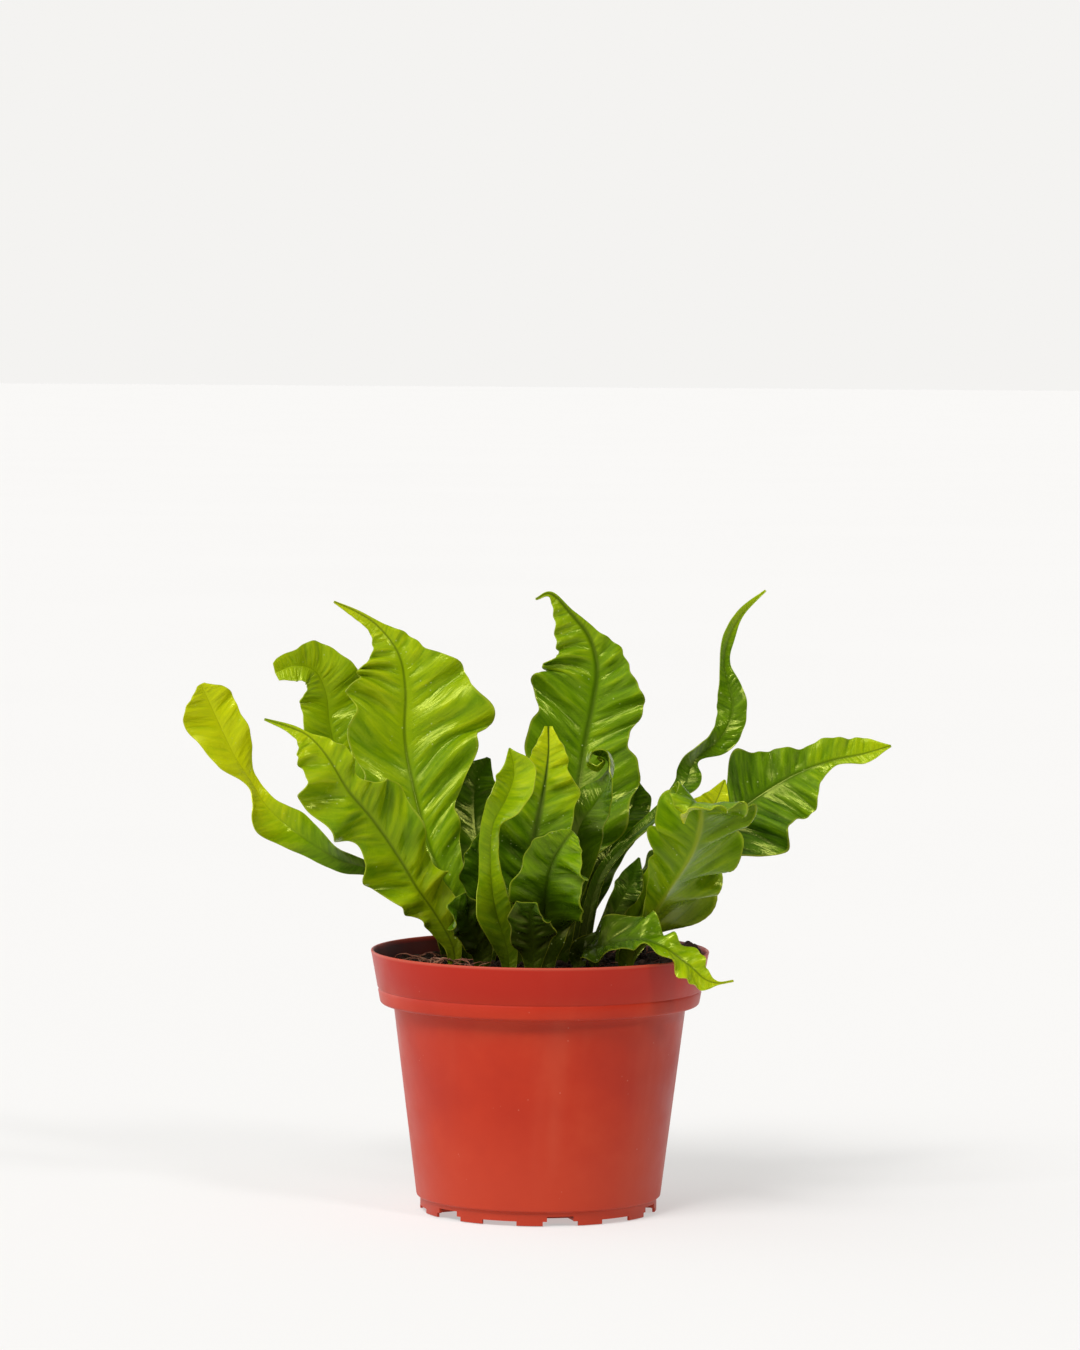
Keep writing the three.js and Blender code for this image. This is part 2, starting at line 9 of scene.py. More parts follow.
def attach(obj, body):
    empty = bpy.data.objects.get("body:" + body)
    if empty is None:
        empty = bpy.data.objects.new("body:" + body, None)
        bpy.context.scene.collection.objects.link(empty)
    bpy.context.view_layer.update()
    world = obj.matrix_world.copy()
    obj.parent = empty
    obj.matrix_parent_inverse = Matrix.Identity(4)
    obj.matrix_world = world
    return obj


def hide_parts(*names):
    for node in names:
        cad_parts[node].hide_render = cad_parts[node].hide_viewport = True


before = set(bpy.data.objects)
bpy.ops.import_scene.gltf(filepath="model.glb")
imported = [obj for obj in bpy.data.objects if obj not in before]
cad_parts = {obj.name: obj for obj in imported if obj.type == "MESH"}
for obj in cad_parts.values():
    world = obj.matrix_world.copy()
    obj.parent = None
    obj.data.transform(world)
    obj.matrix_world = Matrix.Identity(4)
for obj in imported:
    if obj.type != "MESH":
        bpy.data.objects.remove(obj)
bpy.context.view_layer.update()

# A crispy wave bird's nest fern in a thin moulded nursery pot. Metres, in the frame's own axes.
MM = 0.001
TAU = 2 * math.pi
SEED = 11
rng = np.random.default_rng(SEED)

# Pot
POT_HEIGHT = 117 * MM
RIM_RADIUS = 76 * MM
BAND_HEIGHT = 24 * MM
BAND_FOOT_RADIUS = 71.6 * MM
NECK_RADIUS = 65.7 * MM
BODY_FOOT_RADIUS = 55 * MM
SKIRT_RADIUS = 53.2 * MM
SKIRT_HEIGHT = 6.4 * MM
WALL = 1.2 * MM
FLOOR_HEIGHT = 2.2 * MM
CREASE_HEIGHT = POT_HEIGHT - 0.72 * BAND_HEIGHT
FOOT_ROUNDING = 0.3 * MM
SHOULDER_ROUNDING = 1.1 * MM
FILLET = 1.6 * MM
CREASE_DEPTH = 0.42 * MM
CREASE_FLANK_DEPTH = 0.28 * MM
CREASE_FLANK_HEIGHT = 0.35 * MM
CREASE_HALF_HEIGHT = 0.9 * MM
POT_SIDES = 240
POT_SHARP = 38
FOOT_COUNT = 12
FOOT_WIDTH = math.radians(12.6)
FIRST_FOOT = math.radians(-4.1)
SLOT_COUNT = 6
SLOT_WIDTH = math.radians(13)
FIRST_SLOT = math.radians(10.7)
SLOT_HEIGHT = 4.2 * MM
SLOT_DEPTH = 9 * MM
GAP_HEIGHT = FLOOR_HEIGHT - 0.2 * MM
CUT_MARGIN = 1 * MM

# Soil
SOIL_EDGE = POT_HEIGHT - 9.5 * MM
SOIL_MOUND = 4.5 * MM
SOIL_RADIUS = 72.2 * MM
SOIL_RINGS = 64
SOIL_SIDES = 220
# The pitch and height of each size of lump, and each heap's x, y, spread and height
LUMPS = ((13 * MM, 1.6 * MM), (5 * MM, 0.9 * MM), (2.1 * MM, 0.7 * MM))
HEAP = (66 * MM, -2 * MM, 9 * MM, 10.5 * MM)
BANK = (58 * MM, 30 * MM, 17 * MM, 7 * MM)
SOIL_FOOT = FLOOR_HEIGHT + 1.6 * MM
SOIL_WALL = (
    (SOIL_RADIUS - 0.3 * MM, SOIL_EDGE - 3 * MM),
    (NECK_RADIUS - 2 * MM, POT_HEIGHT - BAND_HEIGHT),
    (BODY_FOOT_RADIUS - 2 * MM, SKIRT_HEIGHT + 1.5 * MM),
    (SKIRT_RADIUS - 2.2 * MM, SOIL_FOOT),
)
CRUMBS = 1500
CRUMBS_PER_HEAPED = 9
HEAPED_SPREAD = (5 * MM, 6.5 * MM)
SMALLEST_CRUMB = 0.5 * MM
CRUMB_RANGE = 1.5 * MM
CRUMB_STRETCH = (0.6, 1.3)
CRUMB_KNOBS = 0.28
KNOB_PITCH = 2.4
CRUMB_LIFT = 0.25
CRUMB_MARGIN = 1.2 * MM
CRUMB_FIELD = SOIL_RADIUS - 1.5 * MM
ROOTS = 70
ROOTS_SHOWN_AT = math.radians(190)
ROOTS_SHOWN_SPREAD = 0.45
ROOT_RING = (40 * MM, 66 * MM)
ROOT_LENGTH = (9 * MM, 26 * MM)
ROOT_RADIUS = (0.2 * MM, 0.46 * MM)
ROOT_BEND = 1.1
ROOT_LIFT = 0.5 * MM
ROOT_RISE = 2.6 * MM
ROOT_STEPS = 14
ROOT_LIMIT = SOIL_RADIUS - 2 * MM
NEARLY_UP = (0.13, 0.2, 1.0)

# Fronds: the blade, stalk and midrib
ROOT_END = POT_HEIGHT - 14 * MM
BLADE_THICKNESS = 0.8 * MM
STALK_THICKNESS = 2.6 * MM
STALK_HALF_WIDTH = 1.7 * MM
LEAST_HALF_WIDTH = 0.5 * MM
RIB_RADIUS = 1.2 * MM
STALK_RIB_RADIUS = 1.4 * MM
STALK_FADE = 3
LEAST_STALK = 0.15
BASE_RANGE = (0.22, 0.05)
RIB_ABOVE_AT_BASE = 0.6
GROOVE_SINK = 0.12
RIB_BELOW = 0.75
EDGE_THINNING = 0.45
EDGE_BAND = (0.7, 1)
FULL_NORMAL_WIDTHS = (3 * BLADE_THICKNESS, 12 * BLADE_THICKNESS)
FRONT = (0, -1, 0.3)

# Fronds: the waves, as in the solids
USUAL_CUP = 16
VEIN_SLANT = 0.42
SLANT_BREADTH = 0.7
CREST_LEAN = 0.2
SCALLOP = 0.1
RUFFLE_CURVE = 1.4
SWELL = 0.25
SWELL_PITCH = 2.7
TIP_CALM = 0.6
CALM_RANGE = (0.55, 0.9)
WAVE_DRIFT = 0.12
DRIFT_TURNS = 2.3
DRIFT_SHIFT = 0.4
START_SPREAD = 1.55
START_SHIFT = 0.5

# Fronds: folds and ridges that run out with the veins, and the margin's frill. Evenness 1 has no patches.
RIDGE_SLANT = 0.58
FOLD_PITCH = 12.5 * MM
FOLD_HEIGHT = 1.4 * MM
FOLD_EVENNESS = 0.75
FOLD_PATCH_PITCH = 9.7 * MM
FOLD_START = (0.04, 0.45)
FOLD_BREADTH = 14 * MM
FOLD_DRIFT = 0.3
FOLD_DRIFT_PITCH = 17 * MM
RIDGE_PITCH = 4.2 * MM
RIDGE_HEIGHT = 0.26 * MM
RIDGE_EVENNESS = 0.6
RIDGE_PATCH_PITCH = 6.1 * MM
RIDGE_START = (0.05, 0.2)
RIDGE_END = (0.8, 1)
RIDGE_END_LOSS = 0.7
RIDGE_BREADTH = 8 * MM
RIDGE_DRIFT = 2.2
UNFOLDED_RIDGES = 0.4
FOLD_IN_CREST = 0.55
FRILL_PITCH = 9.5 * MM
FRILL_BAND = (0.5, 1)
FRILL_BREADTH = 9 * MM
FRILL_LEAN = 0.6
FRILL_DRIFT = 1.1
FRILL_DRIFT_PITCH = 13 * MM
USUAL_FRILL = 0.5
USUAL_GROOVE = 0.6

# Fronds: the mesh
ROW_PITCH = 0.95 * MM
FEWEST_ROWS = 60
COLUMNS = 44
COLUMN_CROWDING = 1.25
LENGTH_STEPS = 201
TANGENT_STEP = 1e-4
BLADE_SHARP = 75

# The seeded draw's sine
DRAW_STEP = 127.1
DRAW_START = 11.7
DRAW_SPAN = 43758.5453

# Leaf paint. Streaks, the veins' colour with painted light and shade over the fine ridges, have a pitch
# across the veins, a span along them and a detail. Noises have a scale, a detail and a roughness, and
# NOISE_RANGE is where most of a noise's values lie. Spots have a scale, and the distances from their
# centres where they fade in.
NOISE_RANGE = (0.3, 0.7)
GREENS = [
    (0.0, (0.008, 0.028, 0.0008)), (0.22, (0.04, 0.1, 0.001)), (0.45, (0.11, 0.21, 0.0015)),
    (0.7, (0.25, 0.35, 0.002)), (1.0, (0.44, 0.48, 0.003)),
]
BROAD_STREAKS = (5 * MM, 22 * MM, 2)
FINE_STREAKS = (1.5 * MM, 11 * MM, 3)
FINE_SHARE = 0.65
VEINED_FROM = (0.03, 0.15)
VEINED_TO = (1.0, 0.92)
BLOTCHES = (38, 4, 0.6)
BLOTCH_TONE = 0.4
STREAK_TONE_AND_SHADE = 0.6
# The crests of the folds and ridges are painted lighter and their troughs darker: painted light and shade.
CREST_LIGHT_AND_SHADE = 0.18
UNDER_TONE = 0.08
# The groove's dark green is painted shade in the channel along the midrib, on the upper side, wider where the
# groove is deeper and narrower where the tone is high.
GROOVE_TONES = (0.9, 0.2)
GROOVE_WIDTHS = (0.6 * MM, 2.2 * MM)
GROOVE_WIDENING = (1.3, 0.3)
GROOVE_CORE = 0.15
GROOVE_SHADE_GREEN = (0.026, 0.062, 0.001)
LOWER_RIB_SHARE = 0.5
LOWER_RIB_GREEN = (0.30, 0.35, 0.02)
# Each frond is painted near black from its foot to about 5 cm along it: the stalk's own dark colour and
# painted shade in the crown.
STALK_REACH = (52 * MM, 14 * MM)
STALK_SHARE = 0.7
STALK_AND_SHADE_GREEN = (0.022, 0.026, 0.002)
MARGIN_BAND = (0.955, 0.985)
MARGIN_SHARE = 0.3
MARGIN_GREEN = (0.36, 0.36, 0.03)
SPECKS = (330, 0.16, 0.06)
SPECK_PATCHES = (55, 0.52, 0.62)
SPECK_SHARE = 0.5
SPECK_GREEN = (0.5, 0.58, 0.22)
LEAF_GRAIN = (900, 2)
LEAF_GRAIN_SHARE = 0.12
LEAF_BUMP = 0.5 * MM
LEAF_GLOSS = (60, 3)
LEAF_ROUGHNESS = (0.14, 0.3)

# Pot paint. Each tint has the heights where it starts and is full, its share there and its colour.
POT_CLOUD = (22, 4, 0.6)
POT_REDS = [(0.3, (0.37, 0.018, 0.003)), (0.55, (0.42, 0.024, 0.004)), (0.75, (0.46, 0.036, 0.008))]
POT_STREAKS = (30, 3, 0.5, (1, 1, 0.12))
STREAK_RANGE = (0.5, 0.75)
STREAK_SHARE = 0.4
STREAK_RED = (0.48, 0.07, 0.03)
POT_TINTS = (
    (CREASE_HEIGHT - 5 * MM, CREASE_HEIGHT + 7 * MM, 0.75, (0.39, 0.01, 0.001)),
    (60 * MM, 8 * MM, 0.5, (0.47, 0.05, 0.018)),
    (9 * MM, 2 * MM, 0.25, (0.30, 0.024, 0.009)),
    # The lip's paler tint is a painted highlight along it.
    (POT_HEIGHT - 1.6 * MM, POT_HEIGHT - 0.6 * MM, 0.4, (0.50, 0.12, 0.07)),
)
# The inside of the wall, from just under the lip down to below the soil, is painted near black: painted
# shade.
INSIDE_TOP = (POT_HEIGHT - 0.6 * MM, POT_HEIGHT - 2.5 * MM)
INSIDE_FOOT = POT_HEIGHT - BAND_HEIGHT + 2 * MM
INSIDE_SHADE_SHARE = 0.82
INSIDE_SHADE_RED = (0.05, 0.012, 0.008)
MID_WALL = 0.7 * WALL
DUST = (260, 0.12, 0.03)
DUST_PATCHES = (70, 0.55, 0.65)
DUST_SHARE = 0.22
DUST_RED = (0.7, 0.4, 0.3)
POT_GRAIN = (1500, 2)
POT_GRAIN_SHARE = 0.3
POT_UNEVENNESS = (160, 3)
POT_BUMP = (0.08 * MM, 0.6)
POT_GLOSS = (48, 4)
POT_ROUGHNESS = (0.36, 0.5)

# Soil paint: each tone's dark and light colours and the scale of its grain
PEAT_TONES = ((0.006, 0.0035, 0.002), (0.028, 0.014, 0.008), 420)
CRUMB_TONES = ((0.008, 0.004, 0.0025), (0.04, 0.019, 0.01), 600)
PALEST_GRAIN = 2.2
GRAIN_STOPS = (0.3, 0.62, 0.8)
GRAIN_DETAIL = (5, 0.7)
FINER_GRAIN = 2.5
FINER_DETAIL = (4, 0.7)
COARSE_SHARE = 0.8
SOIL_BUMP = 0.9 * MM
SOIL_ROUGHNESS = (0.98, 0.8)
ROOT_BROWNS = [(0.35, (0.09, 0.025, 0.012)), (0.55, (0.3, 0.1, 0.05)), (0.75, (0.5, 0.3, 0.18))]
ROOT_MOTTLE = (260, 3)
ROOT_GRAIN = (1300, 3)
ROOT_BUMP = 0.15 * MM
ROOT_ROUGHNESS = (0.6, 0.85)

# Camera, with the rim's centre at RIM_PIXEL of a picture of PICTURE pixels
ELEVATION = math.radians(6.15)
ROLL = math.radians(0.4)
CAMERA_DISTANCE = 2.5
LENS = 148.15
SENSOR = 36
PICTURE = (1080, 1350)
RIM_PIXEL = (542, 949.5)

# Each sun's strength, angular size, angle to the left of the front, and height
KEY_LIGHT = (2.05, math.radians(28), math.radians(30), math.radians(50))
LEFT_GLINT = (0.4, math.radians(9), math.radians(22), math.radians(46))
RIGHT_GLINT = (0.75, math.radians(10), math.radians(-40), math.radians(38))

# The studio's light from each side against that from behind, and its colours by height
LEFT_LIGHT = 2.5
RIGHT_LIGHT = 0.4
FRONT_LIGHT = 0.45
SIDE_BAND = (0.2, 0.8)
HORIZON_BAND = (0.14, 0.3)
HORIZON_COLOUR = (0.905, 0.896, 0.879)
OVERHEAD_COLOUR = (0.41, 0.41, 0.41)

# Floor
FLOOR_LEVEL = -0.3 * MM
FLOOR_REACH = 60
FLOOR_SIDES = 64
FLOOR_COLOUR = (0.42, 0.415, 0.408)
FLOOR_MOTTLE = 0.985
FLOOR_PATCHES = (1.2, 2)
FLOOR_ROUGHNESS = 0.9
FLOOR_GLOW = (0.452, 0.448, 0.44)

# One row for each frond. mid is its midrib in millimetres from stalk to tip, heights from the pot's rim. left
# and right are its half widths at the same points, and right is as left where it isn't given. roll turns the
# blade about its midrib, and cup lifts both halves, in degrees. face is the way its upper side looks. waves
# is how many waves a margin has, and ruffle their height as a share of the half width. fold and groove scale
# the folds and the dark groove, and frill is the frill's height in millimetres. The groove's dark is painted
# shade in the midrib's channel. tones run from base to tip, from 0, deep green, to 1, yellow green. They are
# the fronds' own greens with painted shade in them too: darker at most bases and on the low and inner
# fronds, where the crown is in shade.
FRONDS = [
    {"name": "left_ribbon",
     "mid": [
         (-42, 6, 1), (-53, 7, 25), (-74.7, 7, 34.5), (-91.6, 6, 40), (-110, 5, 51.5),
         (-123, 4, 63), (-130.5, 3, 74.3), (-138, 2, 86.3), (-145.5, 1, 102), (-150.5, 0, 113),
         (-153, -1, 118.4),
     ],
     "left": [4, 4, 3, 6, 8, 13, 5, 12, 15.5, 12, 2], "right": [4, 4, 3, 6, 9, 5, 5, 9, 12, 9, 2],
     "roll": [0, 0, 30, 40, 20, 0, -40, -10, 0, 0, 0],
     "waves": 5, "ruffle": 0.3, "face": (0.25, -1, 0.3), "fold": 0.5, "groove": 0.25, "frill": 0.2,
     "tones": [0.3, 0.12, 0.15, 0.75, 1, 1, 1]},
    {"name": "left_tall",
     "mid": [
         (-28, 20, 1), (-47, 32, 29), (-72, 42, 54), (-90, 52, 75), (-97, 58, 95), (-99, 60, 110),
         (-104, 58, 121), (-113, 54, 124), (-122, 50, 121),
     ],
     "left": [4, 11, 15, 17, 15, 13, 8, 8, 4.5], "right": [4, 11, 15, 16, 15, 16, 15, 8, 4.5],
     "waves": 7, "ruffle": 0.22, "face": (0.25, -1, 0.2), "fold": 0.35, "groove": 0.2, "frill": 0.3,
     "tones": [0.1, 0.35, 0.55, 0.65, 0.75]},
    {"name": "left_large",
     "mid": [
         (-33, 4, 1), (-39, 6, 20), (-50, 11, 44), (-57, 18, 68), (-62, 25, 92), (-62, 30, 114),
         (-65, 33, 130), (-74, 34, 142.5), (-84, 32, 149.5), (-94.5, 29, 154.5),
     ],
     "left": [5, 10, 15, 24, 26, 27, 20, 6, 3.5, 0.5], "right": [5, 11, 14, 22, 37, 34.5, 13, 3, 1.2, 0.5],
     "waves": 9, "ruffle": 0.1, "face": (0.2, -1, 0.2), "frill": 0.6,
     "tones": [0.22, 0.4, 0.5, 0.62, 0.75, 0.85]},
    {"name": "left_front",
     "mid": [
         (-39, -10, 1), (-47, -14, 17), (-55, -20, 29), (-63, -26, 43), (-74, -34, 60),
         (-85, -42, 74), (-94, -46, 89), (-102, -46, 98), (-110, -46, 102), (-122, -47, 106),
     ],
     "left": [4, 8, 13, 20, 16, 23, 17, 9, 3, 0.5], "right": [4, 11, 14, 13, 21, 9, 9, 2, 1.5, 0.5],
     "waves": 8, "ruffle": 0.3, "face": (0.2, -1, 0.3), "frill": 0.9,
     "tones": [0.65, 0.7, 0.58, 0.6, 0.75, 0.75]},
    {"name": "left_inner",
     "mid": [(-19, 14, 1), (-22, 19, 15), (-26, 26, 29), (-30, 36, 53), (-30, 42, 70), (-24, 44, 83)],
     "left": [4.4, 11, 13, 14, 13, 1], "right": [4.4, 11, 13, 14, 12, 1],
     "waves": 4, "ruffle": 0.3, "fold": 0.6, "tones": [0.05, 0.14, 0.22, 0.24]},
    {"name": "front_folded",
     "mid": [
         (-14, -36, 1), (-20, -42, 23), (-22, -48, 43), (-21, -53, 60), (-15, -57, 73),
         (-12, -59, 84), (-14, -60, 95),
     ],
     "left": [5, 10, 6, 5, 8, 8, 0.5], "right": [5, 7.5, 6.5, 6, 13, 13, 0.5],
     "roll": [0, 0, 10, 25, 10, 0, 0],
     "waves": 3, "ruffle": 0.3, "cup": 35, "fold": 0.4, "groove": 0.3, "frill": 0.3,
     "tones": [0.4, 0.55, 0.55, 0.65, 0.7]},
    {"name": "centre",
     "mid": [(-8, -14, 1), (-6, -19, 28), (-3, -23, 51), (1, -24, 73), (3, -24, 89), (3, -22, 102)],
     "left": [5.5, 14, 17, 15, 8, 2], "right": [5.5, 14, 19, 17, 9, 2],
     "waves": 5, "ruffle": 0.25, "cup": 24, "groove": 1, "frill": 0.7, "tones": [0.08, 0.2, 0.28, 0.7, 1]},
    {"name": "front_low",
     "mid": [(3, -29, 1), (2, -38, 19), (3, -48, 34), (6, -55, 46), (11, -59, 54.5), (14, -60, 58.5)],
     "left": [5.5, 10.5, 17, 13, 8, 2], "right": [5.5, 15, 20, 19, 14, 4],
     "waves": 3, "ruffle": 0.22, "cup": 26, "fold": 0.7, "frill": 0.9, "tones": [0.04, 0.18, 0.36, 0.48]},
    {"name": "coiled",
     "mid": [
         (9, -6, 1), (12, -8, 28), (17, -9, 55), (24, -9, 66), (30, -9, 75), (32, -9, 84),
         (28.5, -9, 90.5), (22, -9, 90.5), (20.5, -9, 84.5), (25, -9, 81.5), (28, -9, 85.5),
         (25, -9, 87.5),
     ],
     "left": [5, 8, 12, 11, 7, 6, 6, 5.5, 5, 4.5, 3, 1],
     "right": [5, 8, 12, 12, 9, 6, 6, 5.5, 5, 4.5, 3, 1],
     "roll": [0, 0, 0, 20, 60, 85, 90, 90, 90, 90, 90, 90],
     "waves": 5, "ruffle": 0.12, "fold": 0.3, "groove": 0.3, "frill": 0.1,
     "tones": [0.1, 0.28, 0.42, 0.5, 0.62]},
    {"name": "right_tall",
     "mid": [
         (3, 8, 1), (5, 13, 21), (9, 21, 44), (16, 29, 68), (19.5, 36, 90), (23, 40, 108),
         (25, 43, 124), (21.5, 44, 138), (13, 43, 149), (4, 41, 158), (-3, 37, 156),
     ],
     "left": [4.5, 12, 18, 22, 26, 27.5, 26, 20, 11, 2.5, 0.5],
     "right": [4.5, 12, 19, 29, 22, 23, 17, 6, 2, 1.2, 0.5],
     "waves": 8, "ruffle": 0.12, "groove": 0.75, "frill": 0.8,
     "tones": [0.1, 0.22, 0.34, 0.42, 0.55, 0.85]},
    {"name": "right_inner",
     "mid": [(15, 22, 1), (26, 30, 28), (35, 40, 50), (42, 48, 62), (43, 50, 73)],
     "left": [3.2, 9, 12, 11, 1.5], "right": [3.2, 6, 9, 9, 1.5], "waves": 4, "ruffle": 0.3, "fold": 0.6,
     "tones": [0.05, 0.12, 0.18, 0.2]},
    {"name": "right_thin",
     "mid": [
         (20, 8, 1), (26, 12, 30), (39, 18, 47), (52, 24, 58), (65, 30, 73), (70, 34, 84),
         (82, 38, 94), (87, 42, 108), (83, 46, 126), (85, 48, 138), (91, 50, 149), (102, 52, 160),
     ],
     "left": [3, 3, 3, 4, 5, 6, 6, 7, 3, 3.5, 3, 0.5], "right": [3, 3, 3, 4, 8, 2, 8, 7, 3, 3, 1, 0.5],
     "roll": [0, 0, 20, 40, 20, -40, -20, 0, -40, -40, -30, 0],
     "waves": 5, "ruffle": 0.3, "face": (-0.2, -1, 0.2), "fold": 0.6, "groove": 0.4, "frill": 0.4,
     "tones": [0.1, 0.2, 0.3, 0.4, 0.8]},
    {"name": "right_long",
     "mid": [
         (27, -3, 1), (44.1, 2, 26.8), (66.1, 7, 46.6), (87.3, 9, 61.2), (100.6, 10, 70.7),
         (115, 11, 79), (130.6, 12, 85), (144.6, 13, 88), (157.7, 14, 91.8),
     ],
     "left": [3, 4, 6, 10, 22, 12, 10, 8, 0.5], "right": [3, 4, 9, 29, 26, 19, 3.5, 5, 0.5],
     "waves": 7, "ruffle": 0.22, "face": (-0.2, -1, 0.4), "frill": 0.4,
     "tones": [0.05, 0.08, 0.15, 0.33, 0.6, 0.8]},
    {"name": "right_hidden",
     "mid": [(37, -10, 1), (51, -11, 31), (67, -12, 52), (77, -12, 66), (82, -12, 78)],
     "left": [3, 7, 9, 8, 0.5], "right": [3, 7, 8, 8, 0.5], "waves": 4, "ruffle": 0.3,
     "tones": [0.2, 0.5, 0.8, 0.9]},
    {"name": "right_front",
     "mid": [
         (40, -28, 1), (50, -38, 20), (57, -50, 33), (65, -61, 47), (69, -69, 59), (69.5, -77, 69),
         (67, -85, 73.5), (64, -90, 71), (61.5, -91, 65),
     ],
     "left": [5, 30, 26, 26, 22, 22, 18, 12, 0.5], "right": [5, 5, 11, 18, 20, 18, 12, 8, 0.5],
     "roll": [0, 0, 0, 0, 0, 15, 28, 30, 15],
     "waves": 8, "ruffle": 0.24, "face": (0, 0.3, 1), "fold": 0.6, "groove": 0.5, "frill": 1.1,
     "tones": [0.4, 0.5, 0.4, 0.34, 0.42, 0.95]},
    {"name": "over_rim",
     "mid": [
         (18, -26, 1), (27, -41, 6), (41, -51, 10), (53, -58, 8), (65, -60, 0), (72, -60, -6),
         (78, -59, -8), (85, -58, -7),
     ],
     "left": [5, 10.5, 15.5, 8, 8, 4, 1, 0.5], "right": [4, 8, 9, 6, 9, 6, 1, 0.5],
     "roll": [0, 20, 40, 40, 30, 10, 0, 0], "waves": 8, "ruffle": 0.28, "fold": 0.8, "frill": 1.3,
     "tones": [0.08, 0.25, 0.7, 1]},
    {"name": "right_small", "mid": [(25, -16, 1), (35, -15, 22), (40, -14, 31), (44, -13, 43)],
     "left": [3, 5, 7, 0.5], "waves": 2, "ruffle": 0.3, "tones": [0, 0.02, 0.04]},
    {"name": "low_left", "mid": [(-26, -25, 1), (-31, -32, 13), (-36, -40, 21), (-41, -46, 24)],
     "left": [5, 9, 9, 1], "right": [5, 10, 9, 1], "waves": 2, "ruffle": 0.2, "frill": 1.2,
     "tones": [0.02, 0.1, 0.2]},
    {"name": "low_front", "mid": [(-3, -46, 1), (-4, -51, 13), (-4, -57, 22), (-2, -62, 27)],
     "left": [5, 10, 10, 1], "right": [5, 11, 10, 1], "waves": 2, "ruffle": 0.2, "frill": 1.2,
     "tones": [0.02, 0.06, 0.12]},
    {"name": "low_middle", "mid": [(-24, -8, 1), (-25, -11, 22), (-26, -14, 42), (-25, -16, 56)],
     "left": [5, 9, 9, 1], "right": [5, 10, 9, 1], "waves": 3, "ruffle": 0.2, "frill": 1.2,
     "tones": [0.05, 0.1, 0.12]},
    {"name": "back_left",
     "mid": [(-24, 33, 1), (-28, 37, 12), (-38, 49, 28), (-54, 67, 44), (-66, 82, 52), (-74, 95, 50)],
     "left": [5, 10, 13, 15, 12, 0.5], "waves": 5, "ruffle": 0.3, "face": (0.3, -0.6, 1),
     "tones": [0.1, 0.3, 0.5, 0.6]},
    {"name": "back",
     "mid": [(-6, 30, 1), (-7, 33, 14), (-10, 44, 32), (-15, 62, 54), (-20, 82, 65), (-25, 99, 65)],
     "left": [5.5, 12, 15, 15, 12, 0.5], "waves": 5, "ruffle": 0.3, "face": (0.1, -0.8, 1),
     "tones": [0.1, 0.3, 0.5, 0.6]},
    {"name": "back_right",
     "mid": [(10, 37, 1), (12, 41, 13), (16, 52, 29), (20, 68, 46), (24, 82, 54), (27, 95, 52)],
     "left": [5, 10, 12, 13, 11, 0.5], "right": [5, 10, 11, 10, 9, 0.5],
     "waves": 5, "ruffle": 0.3, "face": (-0.2, -0.7, 1), "tones": [0.1, 0.3, 0.45, 0.55]},
    {"name": "back_side",
     "mid": [(42, 14, 1), (54, 20, 16), (67, 27, 29), (79, 33, 36), (89, 38, 38)],
     "left": [4, 7, 10, 9, 0.5], "waves": 4, "ruffle": 0.3, "face": (-0.5, -0.3, 1),
     "tones": [0.1, 0.3, 0.5]},
    {"name": "back_far_right",
     "mid": [(28, 22, 1), (44, 38, 20), (58, 54, 32), (70, 70, 38), (78, 82, 36)],
     "left": [4, 8, 11, 10, 0.5], "waves": 5, "ruffle": 0.3, "face": (-0.4, -0.5, 1),
     "tones": [0.1, 0.3, 0.5]},
]


# Curves and blades

def draw(seed):
    """A number from 0 to 1 that is always the same for the same seed."""
    s = math.sin(seed * DRAW_STEP + DRAW_START) * DRAW_SPAN
    return s - math.floor(s)


def smooth(knots, t):
    """The smooth curve through evenly spaced knots, numbers or points, at each t from 0 to 1."""
    knots = np.asarray(knots, float)
    last = len(knots) - 1
    at = np.clip(np.asarray(t) * last, 0, last - 1e-9)
    i = at.astype(int)
    w = at - i
    padded = np.concatenate([[2 * knots[0] - knots[1]], knots, [2 * knots[-1] - knots[-2]]])
    before, p, q, after = (padded[i + k] for k in range(4))
    if knots.ndim > 1:
        w = w[:, None]
    u, v = (q - before) / 2, (after - p) / 2
    return (2 * p - 2 * q + u + v) * w**3 + (3 * q - 3 * p - 2 * u - v) * w**2 + u * w + p


def unit(vectors):
    return vectors / np.maximum(np.linalg.norm(vectors, axis=-1, keepdims=True), 1e-12)


def ease(low, high, x):
    """0 below low, 1 above high, and smooth between."""
    w = np.clip((x - low) / (high - low), 0, 1)
    return w * w * (3 - 2 * w)


